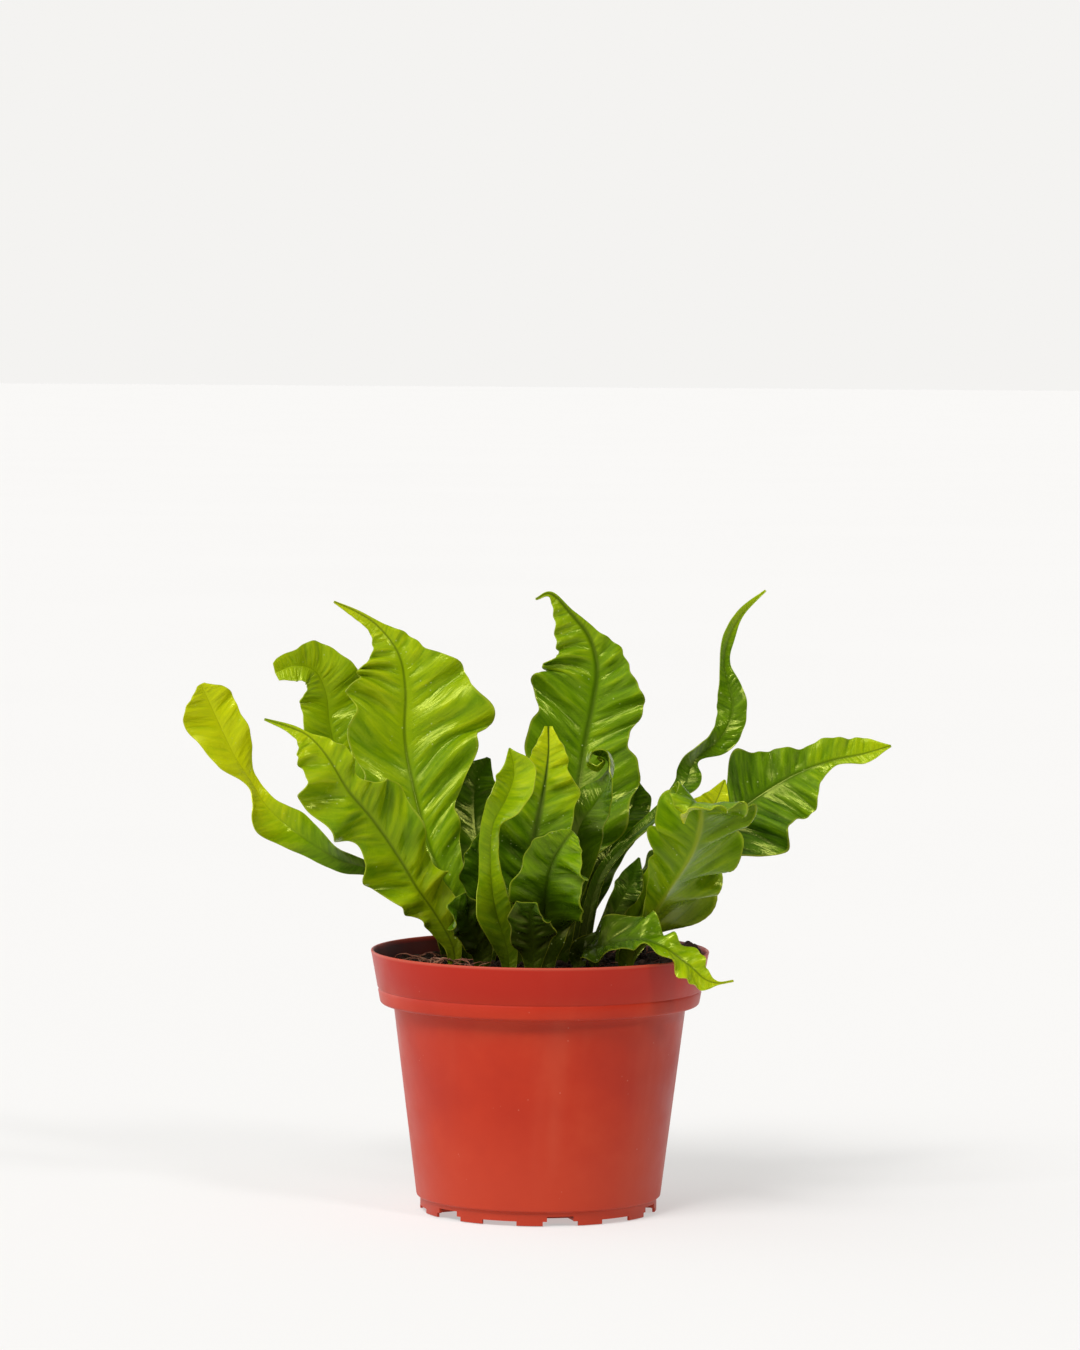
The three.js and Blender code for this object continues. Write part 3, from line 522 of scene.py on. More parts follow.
class Frond:
    """One frond of the table, with what its blade is worked out from."""

    def __init__(self, row, seed):
        self.name = "frond_" + row["name"]
        x, y, _ = row["mid"][0]
        points = [(x * MM, y * MM, ROOT_END)]
        points += [(px * MM, py * MM, POT_HEIGHT + pz * MM) for px, py, pz in row["mid"]]
        self.mid = np.array(points)
        chords = np.diff(smooth(self.mid, np.linspace(0, 1, LENGTH_STEPS)), axis=0)
        self.length = np.linalg.norm(chords, axis=1).sum()
        left, right = row["left"], row.get("right", row["left"])
        self.lefts, self.rights = (np.array([STALK_HALF_WIDTH / MM, *half]) * MM for half in (left, right))
        roll = row.get("roll", [0] * len(row["mid"]))
        self.rolls = np.radians([roll[0], *roll])
        self.look = unit(np.array(row.get("face", FRONT), float))
        self.waves = row["waves"]
        self.ruffle = row["ruffle"]
        self.tilt = math.radians(row.get("cup", USUAL_CUP))
        self.breadth = max(*left, *right) * SLANT_BREADTH * MM
        self.seed = draw(seed)
        self.tones = row["tones"]
        self.fold = row.get("fold", 1)
        self.groove = row.get("groove", USUAL_GROOVE)
        self.frill = row.get("frill", USUAL_FRILL) * MM

    def surface(self, t, v):
        """The blade's middle surface at each t along it and each v across it, from -1 to 1.

        Also how far each point is from the midrib, and how high it stands on the folds and ridges.
        """
        centre = smooth(self.mid, t)
        ahead, behind = np.minimum(t + TANGENT_STEP, 1), np.maximum(t - TANGENT_STEP, 0)
        along = unit(smooth(self.mid, ahead) - smooth(self.mid, behind))
        across = unit(np.cross(along, self.look))
        up = np.cross(across, along)
        roll = smooth(self.rolls, t)[:, None]
        out = across * np.cos(roll) + up * np.sin(roll)
        lift = np.cross(out, along)
        side, a = np.sign(v)[None, :], np.abs(v)[None, :]
        t = t[:, None]
        halves = (smooth(knots, t[:, 0])[:, None] for knots in (self.lefts, self.rights))
        half = np.maximum(np.where(side < 0, *halves), LEAST_HALF_WIDTH)
        free = np.maximum(half - STALK_HALF_WIDTH, 0)
        phase = self.phase(t, a, side)
        calm = 1 - TIP_CALM * ease(*CALM_RANGE, t)
        height = self.ruffle * free * calm * (1 + SWELL * np.sin(phase / SWELL_PITCH))
        x = half * a * math.cos(self.tilt) + SCALLOP * free * a * a * np.cos(phase)
        z = half * a * math.sin(self.tilt) + height * a**RUFFLE_CURVE * np.sin(phase)
        lean = CREST_LEAN * height * a * a * np.cos(phase)
        reach = t * self.length - RIDGE_SLANT * half * a
        relief, crest = self.relief(reach, a, free, side)
        turn = TAU * reach / FRILL_PITCH + 9 * self.seed + 2 * side
        turn = turn + FRILL_DRIFT * np.sin(t * self.length / FRILL_DRIFT_PITCH + 4 * self.seed)
        frill = self.frill * ease(*FRILL_BAND, a) * ease(0, FRILL_BREADTH, free)
        z = z + relief + frill * np.sin(turn)
        x = x + FRILL_LEAN * frill * np.cos(turn)
        points = centre[:, None] + out[:, None] * (side * x)[..., None]
        points = points + lift[:, None] * z[..., None] + along[:, None] * lean[..., None]
        return points, half * a, crest

    def phase(self, t, a, side):
        """Where a margin's wave stands, as an angle."""
        turn = self.waves * (t - VEIN_SLANT * a * self.breadth / self.length)
        drift = WAVE_DRIFT * np.sin(TAU * (DRIFT_TURNS * t + self.seed + DRIFT_SHIFT * side))
        start = np.where(side < 0, self.seed, START_SPREAD * self.seed + START_SHIFT)
        return TAU * (turn + drift + start)

    def relief(self, reach, a, free, side):
        """Height of the folds and ridges, and how far up them each point is, from -1 to 1.

        The multiples of the seed and the side only keep one blade's waves unlike another's.
        """
        drift = FOLD_DRIFT * np.sin(reach / FOLD_DRIFT_PITCH + 5 * self.seed + 2 * side)
        patch = np.sin(reach / FOLD_PATCH_PITCH + 9 * self.seed - side)
        fold = self.fold * np.sin(TAU * (reach / FOLD_PITCH + drift))
        fold = fold * (FOLD_EVENNESS + (1 - FOLD_EVENNESS) * patch)
        fold = fold * ease(*FOLD_START, a) * ease(0, FOLD_BREADTH, free)
        patch = np.sin(reach / RIDGE_PATCH_PITCH + 7 * a + 4 * self.seed)
        ridge = np.sin(TAU * (reach / RIDGE_PITCH + RIDGE_DRIFT * drift))
        ridge = ridge * (RIDGE_EVENNESS + (1 - RIDGE_EVENNESS) * patch)
        ridge = ridge * ease(*RIDGE_START, a) * (1 - RIDGE_END_LOSS * ease(*RIDGE_END, a))
        ridge = ridge * ease(0, RIDGE_BREADTH, free) * (UNFOLDED_RIDGES + (1 - UNFOLDED_RIDGES) * self.fold)
        crest = FOLD_IN_CREST * fold + (1 - FOLD_IN_CREST) * ridge
        return FOLD_HEIGHT * fold + RIDGE_HEIGHT * ridge, crest

    def blade(self):
        """The number of rows, the points of both sides of the blade, and each point's facts for its paint."""
        rows = max(FEWEST_ROWS, round(self.length / ROW_PITCH))
        t = np.linspace(0, 1, rows + 1)
        even = np.linspace(-1, 1, COLUMNS + 1)
        v = np.sign(even) * np.abs(even) ** COLUMN_CROWDING
        middle, reach, crest = self.surface(t, v)
        normal = unit(np.cross(np.gradient(middle, axis=1), np.gradient(middle, axis=0)))
        spread = np.linalg.norm(middle[:, 0] - middle[:, -1], axis=1)[:, None, None]
        own = ease(*FULL_NORMAL_WIDTHS, spread)
        normal = unit(normal * own + normal[:, COLUMNS // 2][:, None] * (1 - own))
        a = np.broadcast_to(np.abs(v)[None, :], reach.shape)
        stalk = np.maximum(1 - t * STALK_FADE, LEAST_STALK)[:, None]
        rib = np.exp(-((reach / (RIB_RADIUS + STALK_RIB_RADIUS * stalk)) ** 2))
        rib = rib * (STALK_THICKNESS - BLADE_THICKNESS)
        thin = BLADE_THICKNESS / 2 * (1 - EDGE_THINNING * ease(*EDGE_BAND, a))
        base = ease(*BASE_RANGE, t)[:, None]
        over = thin + rib * stalk * (RIB_ABOVE_AT_BASE * base - GROOVE_SINK * (1 - base))
        under = thin + rib * stalk * RIB_BELOW
        top = middle + normal * over[..., None]
        bottom = middle - normal * under[..., None]
        # tone is each frond's own green, with painted shade in it at most bases and on the low and inner
        # fronds
        tone = np.broadcast_to(smooth(self.tones, t)[:, None], reach.shape)
        run = np.broadcast_to((t * self.length)[:, None], reach.shape)
        signed = reach * np.sign(v)[None, :]
        groove = np.full_like(reach, self.groove)
        facts = {"edge": a, "tone": tone, "across": signed, "run": run, "crest": crest, "groove": groove}
        return rows, top, bottom, facts


def grid_faces(rows, columns):
    """The quads of a closed two-sided grid, whose second side's corners follow the first's."""
    wide = columns + 1
    under = wide * (rows + 1)
    i, j = np.meshgrid(np.arange(rows), np.arange(columns), indexing="ij")
    a = (i * wide + j).ravel()
    b, c, d = a + 1, a + wide + 1, a + wide
    faces = [np.stack([a, b, c, d], 1), under + np.stack([a, d, c, b], 1)]
    side, end = np.arange(rows) * wide, np.arange(columns)
    for edge, step, turned in (
        (side, wide, False), (side + columns, wide, True), (end, 1, True), (end + rows * wide, 1, False),
    ):
        quad = [edge, edge + step, under + edge + step, under + edge]
        faces.append(np.stack(quad[:1] + quad[:0:-1] if turned else quad, 1))
    return np.concatenate(faces)


def ring_quads(rings, sides):
    """The quads between each ring of corners and the next."""
    faces = []
    for i in range(0, (rings - 1) * sides, sides):
        for k in range(sides):
            n = (k + 1) % sides
            faces.append((i + k, i + n, i + sides + n, i + sides + k))
    return faces


def add_mesh(name, corners, faces, material, sharp=None):
    """A smooth mesh object of one material, with edges past the angle sharp, in degrees."""
    mesh = bpy.data.meshes.new(name)
    mesh.from_pydata([tuple(c) for c in np.asarray(corners).tolist()], [], [tuple(f) for f in faces])
    mesh.validate()
    mesh.shade_smooth()
    if sharp is not None:
        mesh.set_sharp_from_angle(angle=math.radians(sharp))
    mesh.materials.append(material)
    piece = bpy.data.objects.new(name, mesh)
    bpy.context.scene.collection.objects.link(piece)
    return piece


def add_frond(frond, material):
    rows, top, bottom, facts = frond.blade()
    corners = np.concatenate([top.reshape(-1, 3), bottom.reshape(-1, 3)])
    faces = grid_faces(rows, COLUMNS).tolist()
    piece = add_mesh(frond.name + "_blade", corners, faces, material, BLADE_SHARP)
    facts["under"] = np.zeros_like(facts["edge"])
    for key, values in facts.items():
        both = np.tile(values.ravel(), 2)
        if key == "under":
            both[values.size:] = 1
        elif key == "crest":
            both[values.size:] *= -1
        layer = piece.data.attributes.new(key, "FLOAT", "POINT")
        layer.data.foreach_set("value", both.astype(np.float32))
    return piece


# Materials

def feed(node, inputs):
    """Gives a node its inputs, by name or number, each a value or the socket that drives it."""
    for key, value in inputs.items():
        if isinstance(value, bpy.types.NodeSocket):
            node.id_data.links.new(value, node.inputs[key])
        else:
            node.inputs[key].default_value = value


class Paint:
    """The nodes of a material or a world, built by calls most of which return the socket they make."""

    def __init__(self, owner):
        self.owner = owner
        owner.use_nodes = True

    def node(self, kind, inputs=None, **settings):
        node = self.owner.node_tree.nodes.new(kind)
        for key, value in settings.items():
            setattr(node, key, value)
        feed(node, inputs or {})
        return node

    def math(self, operation, *values, clamp=False):
        node = self.node("ShaderNodeMath", dict(enumerate(values)), operation=operation, use_clamp=clamp)
        return node.outputs[0]

    def product(self, first, *others):
        for other in others:
            first = self.math("MULTIPLY", first, other)
        return first

    def attribute(self, name):
        return self.node("ShaderNodeAttribute", attribute_name=name).outputs["Fac"]

    def place(self, space="Object"):
        return self.node("ShaderNodeTexCoord").outputs[space]

    def axes(self, place):
        return self.node("ShaderNodeSeparateXYZ", {0: place}).outputs

    def noise(self, scale, detail=3, roughness=0.5, stretch=None):
        place = self.place()
        if stretch:
            place = self.node("ShaderNodeMapping", {"Vector": place, "Scale": stretch}).outputs[0]
        inputs = {"Vector": place, "Scale": scale, "Detail": detail, "Roughness": roughness}
        return self.node("ShaderNodeTexNoise", inputs).outputs["Fac"]

    def streaks(self, reach, across, pitch, span, detail):
        """Noise about 0, drawn out along the veins: pitch across them and span along them."""
        grid = {0: self.product(reach, 1 / pitch), 1: self.product(across, 1 / span)}
        place = self.node("ShaderNodeCombineXYZ", grid).outputs[0]
        node = self.node("ShaderNodeTexNoise", {"Vector": place, "Scale": 1, "Detail": detail})
        return self.math("SUBTRACT", node.outputs["Fac"], 0.5)

    def spots(self, scale, edge, core, patches):
        """Small round spots that are scattered in patches."""
        node = self.node("ShaderNodeTexVoronoi", {"Vector": self.place(), "Scale": scale})
        patch_scale, low, high = patches
        return self.product(
            self.ease(node.outputs["Distance"], edge, core), self.ease(self.noise(patch_scale), low, high))

    def ease(self, value, low, high, to_low=0.0, to_high=1.0):
        """to_low where the value is low, to_high where it is high, and smooth between."""
        inputs = {"Value": value, "From Min": low, "From Max": high, "To Min": to_low, "To Max": to_high}
        return self.node("ShaderNodeMapRange", inputs, interpolation_type="SMOOTHSTEP").outputs[0]

    def ramp(self, value, stops):
        node = self.node("ShaderNodeValToRGB", {0: value})
        ends = node.color_ramp.elements
        while len(ends) < len(stops):
            ends.new(0.5)
        for element, (place, colour) in zip(ends, stops):
            element.position = place
            element.color = (*colour, 1)
        return node.outputs[0]

    def mix(self, share, first, second):
        """From the first to the second, each a colour or a socket."""
        first, second = ((*value, 1) if isinstance(value, tuple) else value for value in (first, second))
        return self.node("ShaderNodeMix", {0: share, 6: first, 7: second}, data_type="RGBA").outputs[2]

    def bump(self, height, distance, strength=1.0):
        inputs = {"Height": height, "Distance": distance, "Strength": strength}
        return self.node("ShaderNodeBump", inputs).outputs[0]

    def finish(self, colour, roughness, **sockets):
        """Feeds the shader, whose other sockets are named with _ for each space, and gives the material."""
        others = {key.replace("_", " "): value for key, value in sockets.items()}
        shader = self.owner.node_tree.nodes["Principled BSDF"]
        feed(shader, {"Base Color": colour, "Roughness": roughness, **others})
        return self.owner


def material_paint(name):
    return Paint(bpy.data.materials.new(name))


def leaf_material():
    """Greens by each blade's tones, streaked with its veins, with groove, pale margin, stalk and specks.
    Painted shade is in the tones, groove and stalk, and painted light and shade in the streaks and crests.
    """
    paint = material_paint("living_leaf")
    edge, tone, under, crest, signed, run, depth = (
        paint.attribute(key) for key in ("edge", "tone", "under", "crest", "across", "run", "groove"))
    across = paint.math("ABSOLUTE", signed)
    reach = paint.math("SUBTRACT", run, paint.product(across, RIDGE_SLANT))
    broad = paint.product(paint.streaks(reach, signed, *BROAD_STREAKS), 1 - FINE_SHARE)
    fine = paint.product(paint.streaks(reach, signed, *FINE_STREAKS), FINE_SHARE)
    streak = paint.product(
        paint.math("ADD", broad, fine), paint.ease(edge, *VEINED_FROM), paint.ease(edge, *VEINED_TO))
    blotch = paint.math("SUBTRACT", paint.noise(*BLOTCHES), 0.5)
    shade = tone
    # crest paints the crests of the folds and ridges lighter and their troughs darker: painted light and
    # shade
    # streak gives the veins' colour and painted light and shade over the fine ridges, lighter where the bump
    # is high
    for fact, share in ((blotch, BLOTCH_TONE), (streak, STREAK_TONE_AND_SHADE), (crest, CREST_LIGHT_AND_SHADE)):
        shade = paint.math("ADD", shade, paint.product(fact, share))
    shade = paint.math("ADD", shade, paint.product(under, UNDER_TONE), clamp=True)
    colour = paint.ramp(shade, GREENS)
    width = paint.product(
        paint.ease(tone, *GROOVE_TONES, *GROOVE_WIDTHS), paint.math("MULTIPLY_ADD", depth, *GROOVE_WIDENING))
    groove = paint.ease(paint.math("DIVIDE", across, width), 1.0, GROOVE_CORE)
    specks = paint.spots(*SPECKS, SPECK_PATCHES)
    for share, green in (
        # painted shade in the midrib's channel, on the upper side only
        (paint.product(groove, paint.math("SUBTRACT", 1.0, under), depth), GROOVE_SHADE_GREEN),
        (paint.product(groove, under, LOWER_RIB_SHARE), LOWER_RIB_GREEN),
        # the stalk's own dark colour with painted shade in the crown
        (paint.product(paint.ease(run, *STALK_REACH), STALK_SHARE), STALK_AND_SHADE_GREEN),
        (paint.product(paint.ease(edge, *MARGIN_BAND), MARGIN_SHARE), MARGIN_GREEN),
        (paint.product(specks, SPECK_SHARE), SPECK_GREEN),
    ):
        colour = paint.mix(share, colour, green)
    height = paint.math("ADD", streak, paint.product(paint.noise(*LEAF_GRAIN), LEAF_GRAIN_SHARE))
    roughness = paint.ease(paint.noise(*LEAF_GLOSS), *NOISE_RANGE, *LEAF_ROUGHNESS)
    return paint.finish(
        colour, roughness, Normal=paint.bump(height, LEAF_BUMP), IOR=1.4,
        Subsurface_Weight=0.2, Subsurface_Radius=(0.9, 1.0, 0.1), Subsurface_Scale=1.5 * MM,
        Specular_IOR_Level=0.6, Specular_Tint=(0.95, 1.0, 0.2, 1),
    )


def pot_material():
    """Mottled red plastic, deeper on the rim band and paler toward the foot, with a painted highlight at the
    lip and painted shade darkening it inside.
    """
    paint = material_paint("moulded_pot_plastic")
    colour = paint.ramp(paint.noise(*POT_CLOUD), POT_REDS)
    streak = paint.ease(paint.noise(*POT_STREAKS), *STREAK_RANGE, 0, STREAK_SHARE)
    colour = paint.mix(streak, colour, STREAK_RED)
    x, y, z = paint.axes(paint.place())
    for start, full, share, red in POT_TINTS:
        colour = paint.mix(paint.ease(z, start, full, 0, share), colour, red)
    radius = paint.math("SQRT", paint.math("ADD", paint.product(x, x), paint.product(y, y)))
    height_share = paint.math("DIVIDE", paint.math("SUBTRACT", z, POT_HEIGHT - BAND_HEIGHT), BAND_HEIGHT)
    wall_radius = paint.math(
        "MULTIPLY_ADD", height_share, RIM_RADIUS - BAND_FOOT_RADIUS, BAND_FOOT_RADIUS - MID_WALL)
    # painted shade on the inside of the wall
    inside = paint.product(
        paint.math("LESS_THAN", radius, wall_radius), paint.ease(z, *INSIDE_TOP),
        paint.math("GREATER_THAN", z, INSIDE_FOOT), INSIDE_SHADE_SHARE)
    colour = paint.mix(inside, colour, INSIDE_SHADE_RED)
    dust = paint.spots(*DUST, DUST_PATCHES)
    colour = paint.mix(paint.product(dust, DUST_SHARE), colour, DUST_RED)
    grain = paint.product(paint.noise(*POT_GRAIN), POT_GRAIN_SHARE)
    height = paint.math("ADD", grain, paint.noise(*POT_UNEVENNESS))
    roughness = paint.ease(paint.noise(*POT_GLOSS), *NOISE_RANGE, *POT_ROUGHNESS)
    normal = paint.bump(height, *POT_BUMP)
    return paint.finish(colour, roughness, Normal=normal, IOR=1.46, Specular_IOR_Level=0.28)


def soil_material(name, dark, light, scale):
    paint = material_paint(name)
    grain = paint.noise(scale, *GRAIN_DETAIL)
    palest = tuple(PALEST_GRAIN * c for c in light)
    colour = paint.ramp(grain, list(zip(GRAIN_STOPS, (dark, light, palest))))
    finer = paint.noise(scale * FINER_GRAIN, *FINER_DETAIL)
    height = paint.math("ADD", finer, paint.product(grain, COARSE_SHARE))
    roughness = paint.ease(grain, *NOISE_RANGE, *SOIL_ROUGHNESS)
    return paint.finish(colour, roughness, Normal=paint.bump(height, SOIL_BUMP), IOR=1.3)


def root_material():
    paint = material_paint("root_threads")
    colour = paint.ramp(paint.noise(*ROOT_MOTTLE), ROOT_BROWNS)
    height = paint.noise(*ROOT_GRAIN)
    roughness = paint.ease(height, *NOISE_RANGE, *ROOT_ROUGHNESS)
    return paint.finish(colour, roughness, Normal=paint.bump(height, ROOT_BUMP))


# Pot

def lathe(profile, sides):
    """Corners and faces of a profile of (radius, height) turned about Z, closed at both ends on the axis."""
    angles = np.arange(sides) * TAU / sides
    rings = [np.stack([r * np.cos(angles), r * np.sin(angles), np.full(sides, z)], 1) for r, z in profile]
    corners = np.concatenate(rings + [[(0, 0, profile[0][1])], [(0, 0, profile[-1][1])]])
    faces = ring_quads(len(profile), sides)
    first = len(profile) * sides
    last, end = first + 1, first - sides
    for k in range(sides):
        n = (k + 1) % sides
        faces.append((first, n, k))
        faces.append((last, end + k, end + n))
    return corners, faces


def arc(centre, radius, start, stop, count):
    """Points of an arc in the profile's plane, from one angle to another in degrees."""
    angles = np.radians(np.linspace(start, stop, count))
    return [(centre[0] + radius * math.cos(a), centre[1] + radius * math.sin(a)) for a in angles]


def pot_profile():
    """The pot's outline as (radius, height), from under its floor up the outside and down the inside."""
    foot = POT_HEIGHT - BAND_HEIGHT
    taper = (RIM_RADIUS - BAND_FOOT_RADIUS) / BAND_HEIGHT

    def band(z, depth=0):
        return RIM_RADIUS - taper * (POT_HEIGHT - z) - depth, z

    skirt = SKIRT_RADIUS - WALL
    lip = WALL / 2
    low, high = CREASE_HEIGHT - CREASE_HALF_HEIGHT, CREASE_HEIGHT + CREASE_HALF_HEIGHT
    return [
        (skirt - 6 * MM, FLOOR_HEIGHT),
        (skirt, FLOOR_HEIGHT),
        (skirt, FOOT_ROUNDING / 2),
        (skirt + FOOT_ROUNDING / 2, 0),
        *arc((SKIRT_RADIUS - FOOT_ROUNDING, FOOT_ROUNDING), FOOT_ROUNDING, -90, 0, 4),
        (SKIRT_RADIUS, SKIRT_HEIGHT - 1.2 * MM),
        (SKIRT_RADIUS + 0.25 * MM, SKIRT_HEIGHT - 0.6 * MM),
        *arc((BODY_FOOT_RADIUS - SHOULDER_ROUNDING, SKIRT_HEIGHT + 0.9 * MM), SHOULDER_ROUNDING, -60, -5, 5),
        (NECK_RADIUS - 0.3 * MM, foot - 3 * MM),
        (NECK_RADIUS, foot - 0.9 * MM),
        (NECK_RADIUS + 0.35 * MM, foot - 0.2 * MM),
        (NECK_RADIUS + 1.1 * MM, foot),
        *arc((band(foot + FILLET)[0] - FILLET, foot + FILLET), FILLET, -90, -4, 7),
        band(low),
        band(CREASE_HEIGHT - CREASE_FLANK_HEIGHT, CREASE_FLANK_DEPTH),
        band(CREASE_HEIGHT, CREASE_DEPTH),
        band(CREASE_HEIGHT + CREASE_FLANK_HEIGHT, CREASE_FLANK_DEPTH),
        band(high),
        band(POT_HEIGHT - 2 * MM),
        *arc((RIM_RADIUS - lip, POT_HEIGHT - lip), lip, 0, 180, 9),
        (BAND_FOOT_RADIUS - WALL, foot + WALL),
        (NECK_RADIUS - WALL, foot + WALL - 0.4 * MM),
        (BODY_FOOT_RADIUS - WALL, SKIRT_HEIGHT + 1 * MM),
        (skirt, SKIRT_HEIGHT - 0.6 * MM),
        (skirt - 0.4 * MM, FLOOR_HEIGHT + WALL),
        (skirt - 8 * MM, FLOOR_HEIGHT + WALL),
    ]


def wedge(mesh, angle, width, inner, high, steps=6):
    """Adds a closed wedge of a ring round the pot's axis to a bmesh, from below its feet up to high."""
    middle = angle - math.pi / 2
    low, outer = -CUT_MARGIN, RIM_RADIUS
    rings = []
    for k in range(steps + 1):
        a = middle + width * (k / steps - 0.5)
        rings.append([mesh.verts.new((r * math.cos(a), r * math.sin(a), z))
                      for r, z in ((inner, low), (outer, low), (outer, high), (inner, high))])
    for near, far in zip(rings, rings[1:]):
        for k in range(4):
            mesh.faces.new((near[k], near[(k + 1) % 4], far[(k + 1) % 4], far[k]))
    mesh.faces.new(rings[0][::-1])
    mesh.faces.new(rings[-1])


def cut_wedges(pot, angles, width, inner, high):
    """Cuts a wedge out of the pot's bottom edge at each of the angles."""
    tool = bmesh.new()
    for angle in angles:
        wedge(tool, angle, width, inner, high)
    bmesh.ops.recalc_face_normals(tool, faces=tool.faces)
    mesh = bpy.data.meshes.new("cutter")
    tool.to_mesh(mesh)
    tool.free()
    cutter = bpy.data.objects.new("cutter", mesh)
    bpy.context.scene.collection.objects.link(cutter)
    cut = pot.modifiers.new("cut", "BOOLEAN")
    cut.operation, cut.solver, cut.object = "DIFFERENCE", "EXACT", cutter
    bpy.context.view_layer.update()
    shape = bpy.data.meshes.new_from_object(pot.evaluated_get(bpy.context.evaluated_depsgraph_get()))
    pot.modifiers.clear()
    pot.data = shape
    bpy.data.objects.remove(cutter)


def cut_bottom(pot):
    """Cuts the gaps between the feet and the drain slots out of the pot's bottom edge."""
    pitch = TAU / FOOT_COUNT
    gaps = [FIRST_FOOT + (k + 0.5) * pitch for k in range(FOOT_COUNT)]
    cut_wedges(pot, gaps, pitch - FOOT_WIDTH, SKIRT_RADIUS - 2 * WALL, GAP_HEIGHT)
    slots = [FIRST_SLOT + k * TAU / SLOT_COUNT for k in range(SLOT_COUNT)]
    cut_wedges(pot, slots, SLOT_WIDTH, SKIRT_RADIUS - SLOT_DEPTH, SLOT_HEIGHT)
    pot.data.shade_smooth()
    pot.data.set_sharp_from_angle(angle=math.radians(POT_SHARP))


# Soil

def soil_height(x, y):
    """Height of the soil's surface, mounded toward the crown and heaped against the wall at the right."""
    r = math.hypot(x, y) / RIM_RADIUS
    lumps = sum(height * noise.noise(Vector((x, y, 0)) / pitch) for pitch, height in LUMPS)
    heap = max(height * math.exp(-((x - at_x) ** 2 + (y - at_y) ** 2) / spread ** 2)
               for at_x, at_y, spread, height in (HEAP, BANK))
    return SOIL_EDGE + SOIL_MOUND * (1 - r * r) + lumps + heap


def add_soil(material):
    """The soil as one closed mesh, from the lumpy surface down the pot's wall to its floor."""
    sides = SOIL_SIDES
    angles = [TAU * k / sides for k in range(sides)]
    corners, faces = [(0, 0, soil_height(0, 0))], []
    for i in range(1, SOIL_RINGS + 1):
        r = SOIL_RADIUS * (i / SOIL_RINGS)
        for a in angles:
            x, y = r * math.cos(a), r * math.sin(a)
            corners.append((x, y, soil_height(x, y)))
    for r, z in SOIL_WALL:
        corners += [(r * math.cos(a), r * math.sin(a), z) for a in angles]
    last = len(corners)
    corners.append((0, 0, SOIL_FOOT))
    for k in range(sides):
        n = (k + 1) % sides
        faces += [(0, 1 + k, 1 + n), (last, last - sides + n, last - sides + k)]
        for i in range(1, last - sides, sides):
            faces.append((i + k, i + sides + k, i + sides + n, i + n))
    return add_mesh("soil_surface", corners, faces, material)


def held_within(limit, x, y):
    """The point, moved toward the pot's axis where it is farther out than limit."""
    scale = limit / max(math.hypot(x, y), limit)
    return x * scale, y * scale


def add_crumbs(material):
    """Peat crumbs of many sizes on the surface, as one mesh."""
    ball = bmesh.new()
    bmesh.ops.create_icosphere(ball, subdivisions=2, radius=1)
    shape = np.array([v.co[:] for v in ball.verts])
    sides = [[v.index for v in f.verts] for f in ball.faces]
    ball.free()
    corners, faces = [], []
    for k in range(CRUMBS):
        if k % CRUMBS_PER_HEAPED == 0:
            x, y = (HEAP[i] + rng.normal(0, HEAPED_SPREAD[i]) for i in range(2))
        else:
            r, a = CRUMB_FIELD * math.sqrt(rng.random()), TAU * rng.random()
            x, y = r * math.cos(a), r * math.sin(a)
        x, y = held_within(SOIL_RADIUS - CRUMB_MARGIN, x, y)
        size = SMALLEST_CRUMB + CRUMB_RANGE * rng.random() ** 3
        knobs = 1 + CRUMB_KNOBS * np.sin(shape @ rng.normal(0, KNOB_PITCH, 3) + 6 * rng.random())[:, None]
        turn = np.array(Matrix.Rotation(TAU * rng.random(), 3, Vector(rng.normal(size=3)).normalized()))
        body = (shape * knobs * size * rng.uniform(*CRUMB_STRETCH, 3)) @ turn.T
        centre = np.array([x, y, soil_height(x, y) + CRUMB_LIFT * size])
        first = len(corners)
        corners += (body + centre).tolist()
        faces += [[first + i for i in side] for side in sides]
    return add_mesh("soil_crumbs", corners, faces, material)


def tube(path, radii, sides=6):
    """Corners and faces of a thin closed tube along a path that never runs the way of NEARLY_UP."""
    path = np.asarray(path)
    along = unit(np.gradient(path, axis=0))
    side = unit(np.cross(along, NEARLY_UP))
    up = np.cross(side, along)
    angles = np.arange(sides) * TAU / sides
    ring = np.cos(angles)[None, :, None] * side[:, None] + np.sin(angles)[None, :, None] * up[:, None]
    corners = (path[:, None] + ring * np.asarray(radii)[:, None, None]).reshape(-1, 3)
    faces = [list(range(sides))[::-1], [len(corners) - sides + k for k in range(sides)]]
    return corners.tolist(), faces + ring_quads(len(path), sides)


def add_roots(material):
    """Root threads that lie on the peat, more of them at the left where they show."""
    corners, faces = [], []
    for k in range(ROOTS):
        shown = k % 2 == 0
        a = rng.normal(ROOTS_SHOWN_AT, ROOTS_SHOWN_SPREAD) if shown else TAU * rng.random()
        r = rng.uniform(*ROOT_RING)
        heading = TAU * rng.random()
        length = rng.uniform(*ROOT_LENGTH)
        bend = rng.normal(0, ROOT_BEND)
        path = []
        for s in np.linspace(0, 1, ROOT_STEPS):
            turn = heading + bend * s
            x = r * math.cos(a) + length * s * math.cos(turn)
            y = r * math.sin(a) + length * s * math.sin(turn)
            x, y = held_within(ROOT_LIMIT, x, y)
            path.append((x, y, soil_height(x, y) + ROOT_LIFT + ROOT_RISE * math.sin(math.pi * s)))
        radius = rng.uniform(*ROOT_RADIUS)
        more, sides = tube(path, np.linspace(radius, 0.5 * radius, ROOT_STEPS))
        first = len(corners)
        corners += more
        faces += [[first + i for i in side] for side in sides]
    return add_mesh("root_threads", corners, faces, material)


# Camera, light and floor

